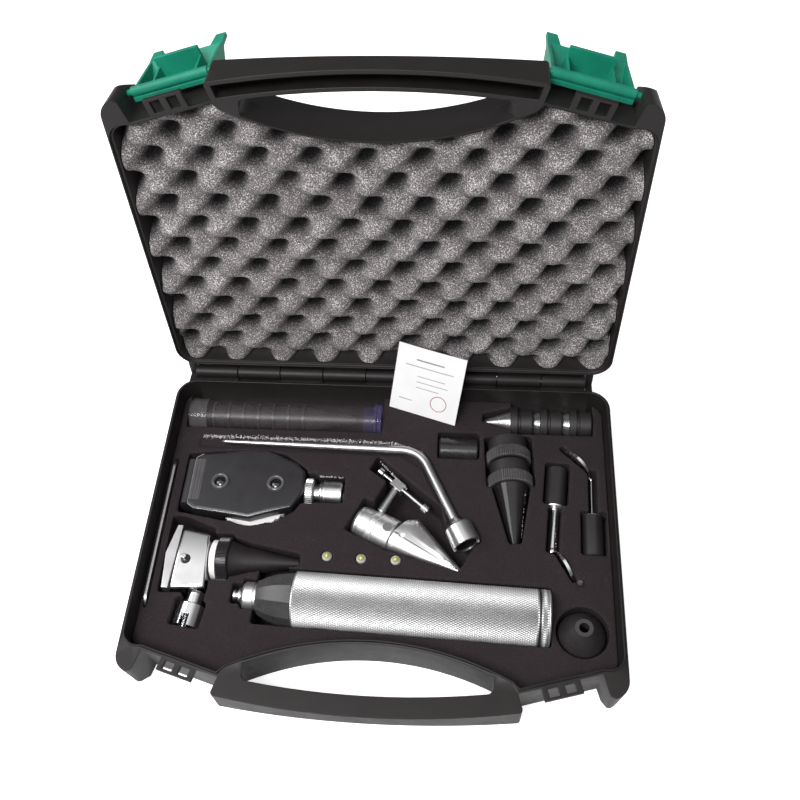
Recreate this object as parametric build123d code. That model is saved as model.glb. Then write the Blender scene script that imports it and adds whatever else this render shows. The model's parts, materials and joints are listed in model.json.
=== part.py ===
"""Hard plastic carry case for an otoscope and ophthalmoscope set, open, with its instruments in foam.

Millimetres, +Z up.  The origin is the centre of the base's underside, X runs along the hinge and
-Y points at the carry handle.  Every piece is drawn where it lies when the lid rests open on its stops.
"""
import math
import os

from build123d import *

# ---------------------------------------------------------------- case, overall
CASE_WIDTH = 255.0          # across the side walls at the rim
BASE_DEPTH = 34.0           # underside to rim
LID_DEPTH = 27.0            # rim to outer face
WALL = 2.2                  # moulded wall
DRAFT = 4.0                 # draft of the tray walls, degrees
RIM_GAP = 0.3               # between the two rims when shut
HINGE_Y = 100.0             # hinge axis, behind the origin
HINGE_OFFSET = 6.0          # hinge axis to the back walls
LID_OPEN = 96.0             # angle at which the lid rests on its stops
BACK_CORNER = 12.0          # plan radii of the corners
FRONT_CORNER = 10.0
LIP_HEIGHT = 1.2            # base lip that stands into the lid's rebate
LIP_THICK = 0.9
LIP_CLEARANCE = 0.4

# ---------------------------------------------------------------- front: latch recesses, handle
HORN_WIDTH = 12.8           # side wall to the recess
RECESS_WIDTH = 42.4
RECESS_SLOPE = 16.1         # degrees in plan
RECESS_Y = -72.2            # outer end of the recess wall
HORN_REACH = 13.5           # the corner post beyond the recess wall
HORN_SLANT_REACH = 9.3      # the corner post falls back to the outer face
HORN_SLANT_HEIGHT = 15.5
HORN_TIP_ROUND = 3.0
HANDLE_REACH = 9.3          # the handle's end beyond the recess wall
FRONT_ARC_Y = -63.5         # middle of the concave front wall
FRONT_ARC_END_Y = -80.0
HANDLE_FRONT_Y = -99.5
HANDLE_MIDDLE_DEPTH = 11.5  # the handle band is arched
HANDLE_END_DEPTH = 19.0
HANDLE_END_ROUND = 2.0
GRIP_INNER_Y = -89.0        # finger opening
GRIP_INNER_END_Y = -84.5
GRIP_HALF = 62.0
GRIP_CORNER = 3.5
CHANNEL_HALF = 73.0         # channel moulded into the handle band
CHANNEL_INNER_HALF = 71.5

# ---------------------------------------------------------------- hinge
KNUCKLES = 9
KNUCKLE_RADIUS = 3.6
KNUCKLE_GAP = 0.4
FLANGE_NEAR = 4.2              # flange along each half's hinge, from the axis
FLANGE_FAR = 5.4
FLANGE_REACH = 1.5             # and past it
HINGE_INSET = 11.5          # side wall to the first knuckle
HINGE_SHIFT = -2.0          # knuckle row sits a little left of the middle
PIN_RADIUS = 1.5
PIN_CLEARANCE = 0.05
STOP_WIDTH = 4.0
STOP_LEVEL = 3.0            # bottom of the lid's lugs above the axis, shut
STOP_REACH = 7.0

# ---------------------------------------------------------------- latches
LATCH_END_GAP = 1.3
LATCH_WIDTH = RECESS_WIDTH - 2 * LATCH_END_GAP
LATCH_AXIS_OUT = 6.5        # latch axis in front of the recess wall
LATCH_AXIS_UP = 15.2        # and above the lid's rim when shut
LATCH_OPEN = 180.0
LATCH_TUBE_RADIUS = 2.4
LATCH_SKIN = 2.3
LATCH_SKIN_OUT = 8.4        # inner face of the skin beside the axis
LATCH_BULGE = 5.0           # how far the skin swells out below, for the finger
LATCH_PIN_RADIUS = 1.5
LATCH_PIN_ENTRY = 1.4
LATCH_DROP = 22.2           # rim to the latch's free end when shut
LATCH_FRAME_HALF = 11.6     # frame inside the latch that carries the hook
PRONG_WIDTH = 5.4
PRONG_HEIGHT = 9.0
TONGUE_WIDTH = 19.5
TONGUE_REACH = 6.5
LID_TONGUE_REACH = 8.5
TONGUE_THICK = 2.4
HOOK_GAP = 0.35

# ---------------------------------------------------------------- foam
PAD_THICK = 2.2
FOAM_TOP = BASE_DEPTH - 9.5
FOAM_GAP = 0.3
LID_FOAM_START = 2.0        # crest of the lid foam behind the lid's rim
POCKET_CLEARANCE = 0.8
REST_GAP = 0.3
SEAT_GAP = 0.25             # more room under the battery handle
PAD_GAP = 0.1               # pad to die-cut foam
FOAM_BOTTOM = WALL + PAD_THICK + PAD_GAP
WALL_REACH = 5.0            # past a piece, where its pocket is open to the case wall
ABOVE = 60.0                # pockets are cut up to here

# ---------------------------------------------------------------- battery handle
CELL_RADIUS = 13.0          # R14 cells
CELL_LENGTH = 49.0
CELL_FIT = 0.6
TUBE_WALL = 1.65
TUBE_BORE = CELL_RADIUS + CELL_FIT
TUBE_RADIUS = TUBE_BORE + TUBE_WALL
TUBE_LENGTH = 2 * CELL_LENGTH + 30.0
NECK_LENGTH = 20.0
NECK_SIDES = 10
NECK_TURN = 8.6             # degrees that the ten flats are turned about the axis
NECK_BULGE = 1.5            # how far the flats swell beyond a straight cone
COLLAR_RADIUS = 7.7
COLLAR_LENGTH = 7.6
COLLAR_GROOVE = 1.6         # width of the step at the collar's rear
CONTACT_RADIUS = 3.6
CONTACT_WAIST = 3.0
CONTACT_FLANGE = 4.9
CONTACT_PIN = 1.8
CONTACT_LENGTH = 5.6
SPINDLE_RADIUS = 6.0
FLANGE_THICK = 3.0          # spindle's flange inside the tube
CAP_PLUG = 6.0              # length of the end cap inside the tube
CAP_LENGTH = 5.0
RUNNING_FIT = 0.06
PIECE_GAP = 0.1             # between seated pieces of one instrument


# ================================================================ helpers
def turned(profile):
    """Solid of revolution about the local X axis from (x, radius) pairs."""
    outline = [(profile[0][0], 0.0)] + list(profile) + [(profile[-1][0], 0.0)]
    return revolve(make_face(Polyline(*outline, close=True)), Axis.X)


def tube_along_x(start, end, radius, bore):
    """Plain tube on the local X axis."""
    return turned([(start, radius), (end, radius)]) - turned([(start - 1, bore), (end + 1, bore)])


def block(x_range, y_range, z_range):
    """Box between two corners."""
    size = [high - low for low, high in (x_range, y_range, z_range)]
    middle = [(high + low) / 2 for low, high in (x_range, y_range, z_range)]
    return Pos(*middle) * Box(*size)


def prism(points, z_range):
    """Upright prism over a closed outline."""
    face = make_face(Polyline(*points, close=True))
    return Pos(0, 0, z_range[0]) * extrude(face, z_range[1] - z_range[0])


def lay(x, y, z, angle=0.0):
    """Place of an instrument whose local X axis points along angle in plan."""
    return Location((x, y, z), (0, 0, angle))


def across(x):
    """Plane square to the local X axis, with its own X along Y and its Y along Z."""
    return Plane(origin=(x, 0, 0), x_dir=(0, 1, 0), z_dir=(1, 0, 0))


def spun(profile):
    """Solid of revolution about the local Z axis from (radius, z) pairs."""
    outline = [(0, 0, profile[0][1])] + [(r, 0, z) for r, z in profile] + [(0, 0, profile[-1][1])]
    return revolve(make_face(Polyline(*outline, close=True)), Axis.Z)


def pocket(profile, clearance=POCKET_CLEARANCE):
    """Straight-sided pocket, open at the top, under a turned piece lying on its side."""
    cuts = []
    for (x0, r0), (x1, r1) in zip(profile, profile[1:]):
        if x1 - x0 < 0.01:
            continue
        low, high = x0 - clearance, x1 + clearance
        half0, half1 = r0 + clearance, r1 + clearance
        outline = [(low, -half0), (high, -half1), (high, half1), (low, half0)]
        cuts.append(prism(outline, (-max(r0, r1) - REST_GAP, ABOVE)))
    return cuts


def open_to_wall(start, end, radius, side):
    """Cutter that runs a pocket out through the foam's edge, on one side of the piece in it."""
    y_range = sorted((0, side * (radius + WALL_REACH)))
    return block((start - POCKET_CLEARANCE, end + POCKET_CLEARANCE), y_range, (-radius - REST_GAP, ABOVE))


def web(points, middle, thick):
    """Plate of that thickness across X = middle, drawn in its YZ plane."""
    face = make_face(Polyline(*[(0, y, z) for y, z in points], close=True))
    return Pos(middle - thick / 2, 0, 0) * extrude(face, thick, dir=(1, 0, 0))


# ================================================================ case plan
def recess_frame(side):
    """Frame at the middle of a latch recess: X along the recess wall, -Y outward, Z = 0 at the rim."""
    slope = math.radians(RECESS_SLOPE)
    x = CASE_WIDTH / 2 - HORN_WIDTH - RECESS_WIDTH / 2 * math.cos(slope)
    y = RECESS_Y - RECESS_WIDTH / 2 * math.sin(slope)
    return Location((side * x, y, 0), (0, 0, side * RECESS_SLOPE))


def recess_point(across, out):
    """Plan point in the right-hand recess, measured from its middle."""
    place = recess_frame(1) * Pos(across, -out, 0)
    return place.position.X, place.position.Y


RECESS_OUTER = recess_point(RECESS_WIDTH / 2, 0)
RECESS_INNER = recess_point(-RECESS_WIDTH / 2, 0)
HORN_TIP = recess_point(RECESS_WIDTH / 2, HORN_REACH)
HANDLE_END = recess_point(-RECESS_WIDTH / 2, HANDLE_REACH)
FRONT_ARC_X = RECESS_INNER[0] - 4.0
BACK_Y = HINGE_Y - HINGE_OFFSET


def mirrored_outline(right, middle_y):
    """Face from the right-hand points, an arc through (0, middle_y) and the mirrored points."""
    left = [(-x, y) for x, y in reversed(right)]
    edges = Polyline(*right).edges() + ThreePointArc(right[-1], (0, middle_y), left[0]).edges()
    edges = edges + Polyline(*left).edges() + Line(left[-1], right[0]).edges()
    return make_face(edges)


def rounded(face, corner, radius):
    """Fillet of a corner and of its mirror image in a plan outline."""
    near = [v for v in face.vertices() if abs(abs(v.X) - corner[0]) < 0.1 and abs(v.Y - corner[1]) < 0.1]
    return fillet(near, radius)


def tray_plan(with_horns):
    """Outline of one case half at its rim, with or without the corner posts beside the latches."""
    half = CASE_WIDTH / 2
    back = (half, BACK_Y)
    if with_horns:
        front = (half, HORN_TIP[1] + 5.0)
        right = [back, front, HORN_TIP, RECESS_OUTER, RECESS_INNER]
    else:
        front = (half, RECESS_OUTER[1])
        right = [back, front, RECESS_OUTER, RECESS_INNER]
    right.append((FRONT_ARC_X, FRONT_ARC_END_Y))
    face = mirrored_outline(right, FRONT_ARC_Y)
    if with_horns:
        face = rounded(face, HORN_TIP, HORN_TIP_ROUND)
    face = rounded(face, back, BACK_CORNER)
    return rounded(face, front, FRONT_CORNER)


def handle_plan():
    """Outline of the carry handle band with its finger opening."""
    root = (FRONT_ARC_X, FRONT_ARC_END_Y + 2.0)
    left_root, left_end = (-root[0], root[1]), (-HANDLE_END[0], HANDLE_END[1])
    inner, left_inner = RECESS_INNER, (-RECESS_INNER[0], RECESS_INNER[1])
    edges = Polyline(root, inner, HANDLE_END).edges()
    edges = edges + ThreePointArc(HANDLE_END, (0, HANDLE_FRONT_Y), left_end).edges()
    edges = edges + Polyline(left_end, left_inner, left_root).edges()
    edges = edges + ThreePointArc(left_root, (0, FRONT_ARC_Y + 2.0), root).edges()
    return rounded(make_face(edges), HANDLE_END, HANDLE_END_ROUND) - grip_plan()


def grip_plan():
    """Outline of the finger opening, running on into the tray wall."""
    low, high = GRIP_INNER_END_Y, FRONT_ARC_END_Y + 4.0
    edges = ThreePointArc((-GRIP_HALF, low), (0, GRIP_INNER_Y), (GRIP_HALF, low)).edges()
    edges = edges + Line((GRIP_HALF, low), (GRIP_HALF, high)).edges()
    edges = edges + ThreePointArc((GRIP_HALF, high), (0, FRONT_ARC_Y + 3.0), (-GRIP_HALF, high)).edges()
    edges = edges + Line((-GRIP_HALF, high), (-GRIP_HALF, low)).edges()
    return rounded(make_face(edges), (GRIP_HALF, low), GRIP_CORNER)


def band_y(x, half, middle_y, end_y):
    """Y of a shallow bow at x, from its middle and its ends at +-half."""
    return middle_y + (end_y - middle_y) * (x / half) ** 2


def channel_plan():
    """Outline of the open channel moulded into the handle band."""
    end, inner_end = CHANNEL_HALF, CHANNEL_INNER_HALF
    outer = band_y(end, HANDLE_END[0], HANDLE_FRONT_Y, HANDLE_END[1]) + WALL
    inner = band_y(inner_end, GRIP_HALF, GRIP_INNER_Y, GRIP_INNER_END_Y) - WALL
    edges = ThreePointArc((-end, outer), (0, HANDLE_FRONT_Y + WALL), (end, outer)).edges()
    edges = edges + Line((end, outer), (inner_end, inner)).edges()
    edges = edges + ThreePointArc((inner_end, inner), (0, GRIP_INNER_Y - WALL), (-inner_end, inner)).edges()
    return make_face(edges + Line((-inner_end, inner), (-end, outer)).edges())


def handle_band(channel_up):
    """Arched carry handle band; its channel is open at the rim or on the outer side."""
    band = extrude(handle_plan(), -HANDLE_END_DEPTH)
    end, foot, below = HANDLE_END[0] + 1.0, -HANDLE_END_DEPTH, -HANDLE_END_DEPTH - 1.0
    arch = Polyline((end, 0, foot), (end, 0, below), (-end, 0, below), (-end, 0, foot))
    crown = ThreePointArc((-end, 0, foot), (0, 0, -HANDLE_MIDDLE_DEPTH), (end, 0, foot))
    under = make_face(arch.edges() + crown.edges())
    band -= Pos(0, HANDLE_FRONT_Y - 5.0, 0) * extrude(under, -HANDLE_FRONT_Y, dir=(0, 1, 0))
    if channel_up:
        return band - extrude(channel_plan(), WALL - HANDLE_MIDDLE_DEPTH)
    return band - Pos(0, 0, -HANDLE_END_DEPTH - 1.0) * extrude(channel_plan(), HANDLE_END_DEPTH + 1.0 - WALL)


def drafted(face, top, bottom):
    """Prism that narrows downward by the draft, between two heights below the rim plane."""
    inset = -top * math.tan(math.radians(DRAFT))
    start = offset(face, amount=-inset, kind=Kind.INTERSECTION) if inset > 0.01 else face
    return Pos(0, 0, top) * extrude(start, amount=bottom - top, taper=DRAFT)


def cavity_plan(inset):
    """Inner outline of a case half at the rim, moved inward by a further inset."""
    return offset(tray_plan(False), amount=-WALL - inset, kind=Kind.INTERSECTION)


# ================================================================ case shells
def case_half(depth, tongue_reach, channel_up):
    """One moulded half, rim up at Z = 0, without hinge or lip."""
    shell = drafted(tray_plan(True), 0, -depth)
    hollow = drafted(cavity_plan(0), 0, -depth + WALL)
    tip, root, beyond = -HORN_REACH, HORN_SLANT_REACH - HORN_REACH, 8.0
    rise = HORN_SLANT_HEIGHT * (1 + beyond / HORN_SLANT_REACH)
    slant = [(root, -depth - 1), (root, -depth), (tip - beyond, rise - depth), (tip - beyond, -depth - 1)]
    for side in (-1, 1):
        middle = side * (RECESS_WIDTH / 2 + HORN_WIDTH - 0.5)
        shell -= recess_frame(side) * web(slant, middle, 2 * HORN_WIDTH)
    shell = shell + handle_band(channel_up) - hollow
    for side in (-1, 1):
        tongue = block((-TONGUE_WIDTH / 2, TONGUE_WIDTH / 2), (-tongue_reach, 1.5), (-TONGUE_THICK, 0))
        for hole in (-4.3, 4.3):
            tongue -= block((hole - 2.6, hole + 2.6), (1.4 - tongue_reach, -1.0), (-TONGUE_THICK - 1, 1))
        shell += recess_frame(side) * tongue
    return shell


def knuckle_span(index):
    """X range of one hinge knuckle."""
    length = CASE_WIDTH - 2 * HINGE_INSET
    pitch = length / KNUCKLES
    start = HINGE_SHIFT - length / 2 + index * pitch
    return start + KNUCKLE_GAP / 2, start + pitch - KNUCKLE_GAP / 2


def add_knuckles(shell, first, top):
    """Moulded knuckles and flange of one half; top is +1 above the hinge axis and -1 below."""
    for index in range(first, KNUCKLES, 2):
        low, high = knuckle_span(index)
        barrel = Pos(0, HINGE_Y, 0) * tube_along_x(low, high, KNUCKLE_RADIUS, PIN_RADIUS + PIN_CLEARANCE)
        heights = sorted((top * (PIN_RADIUS + 0.6), top * FLANGE_FAR))
        shell += barrel
        shell += block((low, high), (BACK_Y - 1.0, HINGE_Y), heights)
    ends = knuckle_span(0)[0], knuckle_span(KNUCKLES - 1)[1]
    heights = sorted((top * FLANGE_NEAR, top * FLANGE_FAR))
    return shell + block(ends, (BACK_Y - 1.0, HINGE_Y + FLANGE_REACH), heights)


def stop_contact(y):
    """Height of the plane, below the hinge axis, on which the lid's stop lugs rest."""
    lean = math.radians(LID_OPEN - 90)
    return -(STOP_LEVEL + y * math.sin(lean)) / math.cos(lean)


def side_lug(points, side):
    """Upright lug drawn in the YZ plane about the hinge axis, outboard of the knuckles."""
    start = CASE_WIDTH / 2 - HINGE_INSET + KNUCKLE_GAP
    face = make_face(Polyline(*[(0, HINGE_Y + y, z) for y, z in points], close=True))
    lug = extrude(face, STOP_WIDTH, dir=(1, 0, 0))
    return Pos(HINGE_SHIFT + (start if side > 0 else -start - STOP_WIDTH), 0, 0) * lug


def base_shell():
    """Lower half with lip, knuckles and stop lugs."""
    shell = case_half(BASE_DEPTH, TONGUE_REACH, False)
    lip = cavity_plan(-LIP_THICK) - cavity_plan(0)
    shell += extrude(lip, LIP_HEIGHT)
    shell = add_knuckles(shell, 0, -1)
    wall = -HINGE_OFFSET - 0.8
    for side in (-1, 1):
        top = [(wall, stop_contact(wall) - PIECE_GAP), (STOP_REACH, stop_contact(STOP_REACH) - PIECE_GAP)]
        shell += side_lug(top + [(STOP_REACH, -6.0), (wall, -16.0)], side)
    return Pos(0, 0, BASE_DEPTH) * shell


def lid_in_place(shape):
    """Carry a shape from the shut lid to the open lid."""
    hinge = Axis((0, HINGE_Y, BASE_DEPTH), (1, 0, 0))
    return shape.rotate(hinge, -LID_OPEN)


def lid_shell():
    """Upper half, drawn shut and then swung open."""
    shell = case_half(LID_DEPTH, LID_TONGUE_REACH, True)
    rebate = cavity_plan(-LIP_THICK - LIP_CLEARANCE)
    shell -= Pos(0, 0, -LIP_HEIGHT - LIP_CLEARANCE) * extrude(rebate, LIP_HEIGHT + LIP_CLEARANCE)
    for side in (-1, 1):
        bore = Cylinder(LATCH_PIN_RADIUS + PIN_CLEARANCE, RECESS_WIDTH + 2 * LATCH_PIN_ENTRY + 0.4)
        place = recess_frame(side) * Location((0, -LATCH_AXIS_OUT, -LATCH_AXIS_UP), (0, 90, 0))
        shell -= place * bore
    shell = Pos(0, 0, RIM_GAP) * mirror(shell, about=Plane.XY)
    shell = add_knuckles(shell, 1, 1)
    wall = -HINGE_OFFSET - 0.8
    for side in (-1, 1):
        shell += side_lug([(wall, 1.0), (STOP_LEVEL, 1.0), (STOP_LEVEL, 10.0), (wall, 16.0)], side)
    return lid_in_place(Pos(0, 0, BASE_DEPTH) * shell)


def hinge_pin():
    """Steel rod through all the knuckles."""
    half = CASE_WIDTH / 2 - HINGE_INSET
    place = Location((HINGE_SHIFT, HINGE_Y, BASE_DEPTH))
    return place * turned([(-half, PIN_RADIUS), (half, PIN_RADIUS)])


def latch(side):
    """Swing latch, drawn shut on the shut case, opened, then carried with the lid."""
    half, pin_half = LATCH_WIDTH / 2, RECESS_WIDTH / 2 + LATCH_PIN_ENTRY
    up = RIM_GAP + LATCH_AXIS_UP
    axis_at = Location((0, -LATCH_AXIS_OUT, up))
    near, far = -LATCH_SKIN_OUT, -LATCH_SKIN_OUT - LATCH_BULGE
    edge = PRONG_HEIGHT - LATCH_DROP
    inside = [(near, up + LATCH_TUBE_RADIUS), (near, up - 9), (far, up - 15), (far, up - 21), (near, edge)]
    outside = [(y - LATCH_SKIN, z) for y, z in inside + [(near, -LATCH_DROP)]]
    body = web(inside + [(near, -LATCH_DROP)] + outside[::-1], 0, LATCH_WIDTH)
    notch = half - PRONG_WIDTH
    outline = [(-notch, -LATCH_DROP - 1), (notch, -LATCH_DROP - 1), (notch, -LATCH_DROP), (notch - 1.2, edge)]
    outline += [(1.2 - notch, edge), (-notch, -LATCH_DROP)]
    notch_face = make_face(Polyline(*[(x, 0, z) for x, z in outline], close=True))
    body -= Pos(0, near - LATCH_SKIN - 1, 0) * extrude(notch_face, LATCH_SKIN + 2, dir=(0, 1, 0))
    body += axis_at * turned([(-half, LATCH_TUBE_RADIUS), (half, LATCH_TUBE_RADIUS)])
    body += axis_at * turned([(-pin_half, LATCH_PIN_RADIUS), (pin_half, LATCH_PIN_RADIUS)])
    body += block((-half, half), (near - 0.5, -LATCH_AXIS_OUT), (up - 1.2, up + 1.2))
    hook_top = -TONGUE_THICK - HOOK_GAP
    hook_bottom = hook_top - 1.9
    skin = [(y - 0.5, z) for y, z in inside[1:-1]]
    cheek = [(near - 0.5, edge + 0.3), (near, edge + 0.6)]
    cheek += [(0.8 - LATCH_AXIS_OUT, up), (near - 0.5, up)] + skin
    for x in (0.8 - half, half - 0.8):
        body += web(cheek, x, 1.6)
    frame = [(far - 0.5, hook_bottom), (-7.2, hook_bottom), (-7.2, up), (near - 0.5, up)] + skin[:2]
    for x in (0.6 - LATCH_FRAME_HALF, LATCH_FRAME_HALF - 0.6):
        body += web(frame, x, 1.2)
    body += block((-LATCH_FRAME_HALF, LATCH_FRAME_HALF), (far - 0.5, -2.5), (hook_bottom, hook_top))
    body = body.rotate(Axis((0, -LATCH_AXIS_OUT, up), (1, 0, 0)), -LATCH_OPEN)
    return lid_in_place(Pos(0, 0, BASE_DEPTH) * recess_frame(side) * body)


# ================================================================ instruments
HANDLE_PLACE = lay(-75.9, -36.0, FOAM_BOTTOM + SEAT_GAP + REST_GAP + TUBE_RADIUS, -1.7)
COLLAR_START = CONTACT_LENGTH
NECK_START = COLLAR_START + COLLAR_LENGTH
TUBE_START = NECK_START + NECK_LENGTH
TUBE_END = TUBE_START + TUBE_LENGTH
CAP_START = TUBE_END + 0.9
CAP_END = CAP_START + CAP_LENGTH


def neck_section(x, radius):
    """Ten-sided section of the switch ring, given across its corners."""
    return (across(x) * RegularPolygon(radius, NECK_SIDES, rotation=NECK_TURN)).face()


def neck_ring():
    """Ten-sided swelling cone that turns on the spindle."""
    start, end = NECK_START + PIECE_GAP, TUBE_START - PIECE_GAP
    small, large = COLLAR_RADIUS + 1.3, TUBE_RADIUS - 0.2
    sections = []
    for share in (0.0, 0.25, 0.55, 1.0):
        swell = 4 * NECK_BULGE * share * (1 - share)
        sections.append(neck_section(start + share * (end - start), small + share * (large - small) + swell))
    bore = SPINDLE_RADIUS + RUNNING_FIT
    return loft(sections, ruled=True) - turned([(start - 1, bore), (end + 1, bore)])


def handle_contact():
    """Spring contact: grooved tip ahead of the collar, on a pin that runs back to the cells."""
    end, groove = CONTACT_LENGTH - PIECE_GAP, CONTACT_LENGTH - 0.8
    profile = [(0, CONTACT_RADIUS - 0.5), (0.5, CONTACT_RADIUS), (1.5, CONTACT_RADIUS)]
    profile += [(1.9, CONTACT_WAIST), (2.8, CONTACT_WAIST)]
    profile += [(3.4, CONTACT_FLANGE), (groove, CONTACT_FLANGE), (groove, CONTACT_WAIST)]
    return turned(profile + [(end, CONTACT_WAIST), (end, CONTACT_PIN), (TUBE_START + 3.4, CONTACT_PIN)])


def handle_collar():
    """Plated collar that the heads seat on."""
    step, low = NECK_START - COLLAR_GROOVE, COLLAR_RADIUS - 0.6
    return turned([(COLLAR_START, COLLAR_RADIUS - 1.2), (COLLAR_START + 1.2, COLLAR_RADIUS),
                   (step, COLLAR_RADIUS), (step, low), (NECK_START, low)])


def battery_cell():
    """One cell, with its plain end at X = 0 turned from its cap end."""
    body, cap = CELL_LENGTH - 1.5, 3.0
    profile = [(0, CELL_RADIUS), (body, CELL_RADIUS), (body, cap), (CELL_LENGTH - PIECE_GAP, cap)]
    return turned([(CELL_LENGTH - x, r) for x, r in reversed(profile)])


def handle_pieces():
    """Battery handle: contact, collar, switch ring, spindle, tube, cells, spring and end cap."""
    pin_bore = CONTACT_PIN + RUNNING_FIT
    pin_hole = turned([(COLLAR_START - 1, pin_bore), (TUBE_START + 5, pin_bore)])
    flange, flange_start = TUBE_BORE - PIECE_GAP, TUBE_START + 0.2
    flange_end = flange_start + FLANGE_THICK
    spindle = turned([(NECK_START + 0.05, SPINDLE_RADIUS), (flange_start, SPINDLE_RADIUS),
                      (flange_start, flange), (flange_end, flange)])
    cell_start = flange_end + 0.4
    rear_start = cell_start + CELL_LENGTH + PIECE_GAP
    spring_start = rear_start + CELL_LENGTH + PIECE_GAP
    plug_start = TUBE_END - CAP_PLUG
    cap = turned([(plug_start, flange), (CAP_START, flange), (CAP_START, TUBE_RADIUS),
                  (CAP_END - 1.0, TUBE_RADIUS), (CAP_END, TUBE_RADIUS - 1.0)])
    return {
        "handle_contact": handle_contact(),
        "handle_collar": handle_collar() - pin_hole,
        "handle_switch_ring": neck_ring(),
        "handle_spindle": spindle - pin_hole,
        "handle_tube": tube_along_x(TUBE_START + 0.05, TUBE_END, TUBE_RADIUS, TUBE_BORE),
        "battery_cell_front": Pos(cell_start, 0, 0) * battery_cell(),
        "battery_cell_rear": Pos(rear_start, 0, 0) * battery_cell(),
        "battery_spring": contact_spring(spring_start, plug_start - PIECE_GAP),
        "handle_seal_ring": tube_along_x(TUBE_END + 0.05, CAP_START - 0.05, TUBE_RADIUS - 0.3, TUBE_BORE),
        "handle_end_cap": cap,
    }


def contact_spring(start, end):
    """Conical contact spring between the rear cell and the end cap."""
    length = end - start - 1.2
    coil = Helix(pitch=length / 4, height=length, radius=9.0, cone_angle=10)
    section = Plane(origin=coil @ 0, z_dir=coil % 0) * Circle(0.5)
    return Location((start + 0.6, 0, 0), (0, 90, 0)) * sweep(section, path=coil)


def handle_pocket():
    """Pocket under the battery handle."""
    profile = [(0, CONTACT_FLANGE), (COLLAR_START, CONTACT_FLANGE), (COLLAR_START, COLLAR_RADIUS)]
    profile += [(NECK_START, COLLAR_RADIUS), (NECK_START, TUBE_RADIUS), (CAP_END, TUBE_RADIUS)]
    return pocket(profile)


SPECULA_TUBE_RADIUS = 10.2
SPECULA_TUBE_BORE = SPECULA_TUBE_RADIUS - 1.0
SPECULA_TUBE_LENGTH = 111.0
TUBE_CAP_RADIUS = SPECULA_TUBE_RADIUS + 0.7
TUBE_CAP_LENGTH = 11.0
SPECULA_TUBE_PLACE = lay(-120.0, BACK_Y - WALL - 2.6 - TUBE_CAP_RADIUS, 7.1 + TUBE_CAP_RADIUS)
TUBE_PLUG_LENGTH = 4.5


def specula_tube_pieces():
    """Clear storage tube with a cap, an end plug and a nest of spare specula."""
    skirt = SPECULA_TUBE_RADIUS + 0.1
    body_start = 2.0
    cap = turned([(0, TUBE_CAP_RADIUS - 1), (1, TUBE_CAP_RADIUS), (TUBE_CAP_LENGTH, TUBE_CAP_RADIUS)])
    cap -= turned([(body_start - 0.2, skirt), (TUBE_CAP_LENGTH + 1, skirt)])
    end = SPECULA_TUBE_LENGTH
    stem, head = SPECULA_TUBE_BORE - 0.1, SPECULA_TUBE_RADIUS
    plug = turned([(end - 6, stem), (end, stem), (end, head), (end + TUBE_PLUG_LENGTH, head)])
    nest = []
    for index in range(7):
        nest.append(Pos(14 + index * 9.0, 0, -0.05) * spare_speculum())
    return {
        "specula_tube": tube_along_x(body_start, end - 0.1, SPECULA_TUBE_RADIUS, SPECULA_TUBE_BORE),
        "specula_tube_cap": cap,
        "specula_tube_plug": plug,
        "tube_specula": nest,
    }


def spare_speculum():
    """Thin-walled ear speculum, mouth at the local origin, tip along +X."""
    rim = SPECULA_TUBE_BORE - 0.3
    outer = turned([(0, rim), (1.4, rim), (1.4, 7.6), (32, 2.3)])
    inner = turned([(-1, 7.0), (1.6, 6.8), (33, 1.5)])
    return outer - inner


ARM_HEIGHT = 26.0
ARM_RADIUS = 2.5
ARM_TIP_RADIUS = 1.2
ARM_TIP = (-94.8, 55.97)
GROOVE_LEAD = 15.0          # the rod's groove in the foam starts before its tip
ARM_ELBOW = (19.2, 54.2)
ARM_HEAD = (42.0, 8.0)
ARM_BEND = 17.0
SOCKET_RADIUS = 7.8
SOCKET_WALL = 1.6
SOCKET_LENGTH = 13.0


def arm_heading():
    """Plan angle of the short leg of the bent arm."""
    return math.degrees(math.atan2(ARM_HEAD[1] - ARM_ELBOW[1], ARM_HEAD[0] - ARM_ELBOW[0]))


def side_slots(mouth, depth, half_width):
    """Cutter for the two bayonet slots in a socket whose mouth is at X = mouth."""
    reach = (SOCKET_RADIUS - 2 * SOCKET_WALL, SOCKET_RADIUS + 1)
    slot = block((mouth - depth, mouth + 1), (-half_width, half_width), reach)
    return slot + slot.rotate(Axis.X, 180)


def bayonet_socket():
    """Socket that seats on the handle's collar, over its contact: mouth along +X, two side slots."""
    radius, bore = SOCKET_RADIUS, SOCKET_RADIUS - SOCKET_WALL
    body = turned([(0, radius - 1.5), (1.5, radius), (SOCKET_LENGTH, radius)])
    body -= turned([(2.5, bore), (SOCKET_LENGTH + 1, bore)])
    return body - side_slots(SOCKET_LENGTH, 5.5, 1.6).rotate(Axis.X, 90)


def arm_pieces():
    """Bent-arm illuminator: tapered rod, elbow, lamp tip and bayonet socket."""
    start = Vector(*ARM_TIP)
    elbow = Vector(*ARM_ELBOW)
    taper_end = elbow + (start - elbow).normalized() * 24.0
    angle = math.degrees(math.atan2(elbow.Y - start.Y, elbow.X - start.X))
    length = (taper_end - start).length
    rod = lay(start.X, start.Y, 0, angle) * turned([(0, ARM_TIP_RADIUS), (length + 0.2, ARM_RADIUS)])
    path = FilletPolyline(taper_end, elbow, Vector(*ARM_HEAD), radius=ARM_BEND)
    section = Plane(origin=path @ 0, z_dir=path % 0) * Circle(ARM_RADIUS)
    rod += sweep(section, path=path)
    head = lay(ARM_HEAD[0], ARM_HEAD[1], 0, arm_heading())
    rod += head * turned([(-4.0, ARM_RADIUS), (-1.0, 4.2), (-0.05, 4.2)])
    tip = lay(start.X, start.Y, 0, angle) * turned([(-1.9, 0.5), (-1.3, 1.0), (-0.05, 1.1)])
    return {
        "arm_rod": rod,
        "arm_lamp_tip": tip,
        "arm_socket": head * bayonet_socket(),
    }


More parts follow.
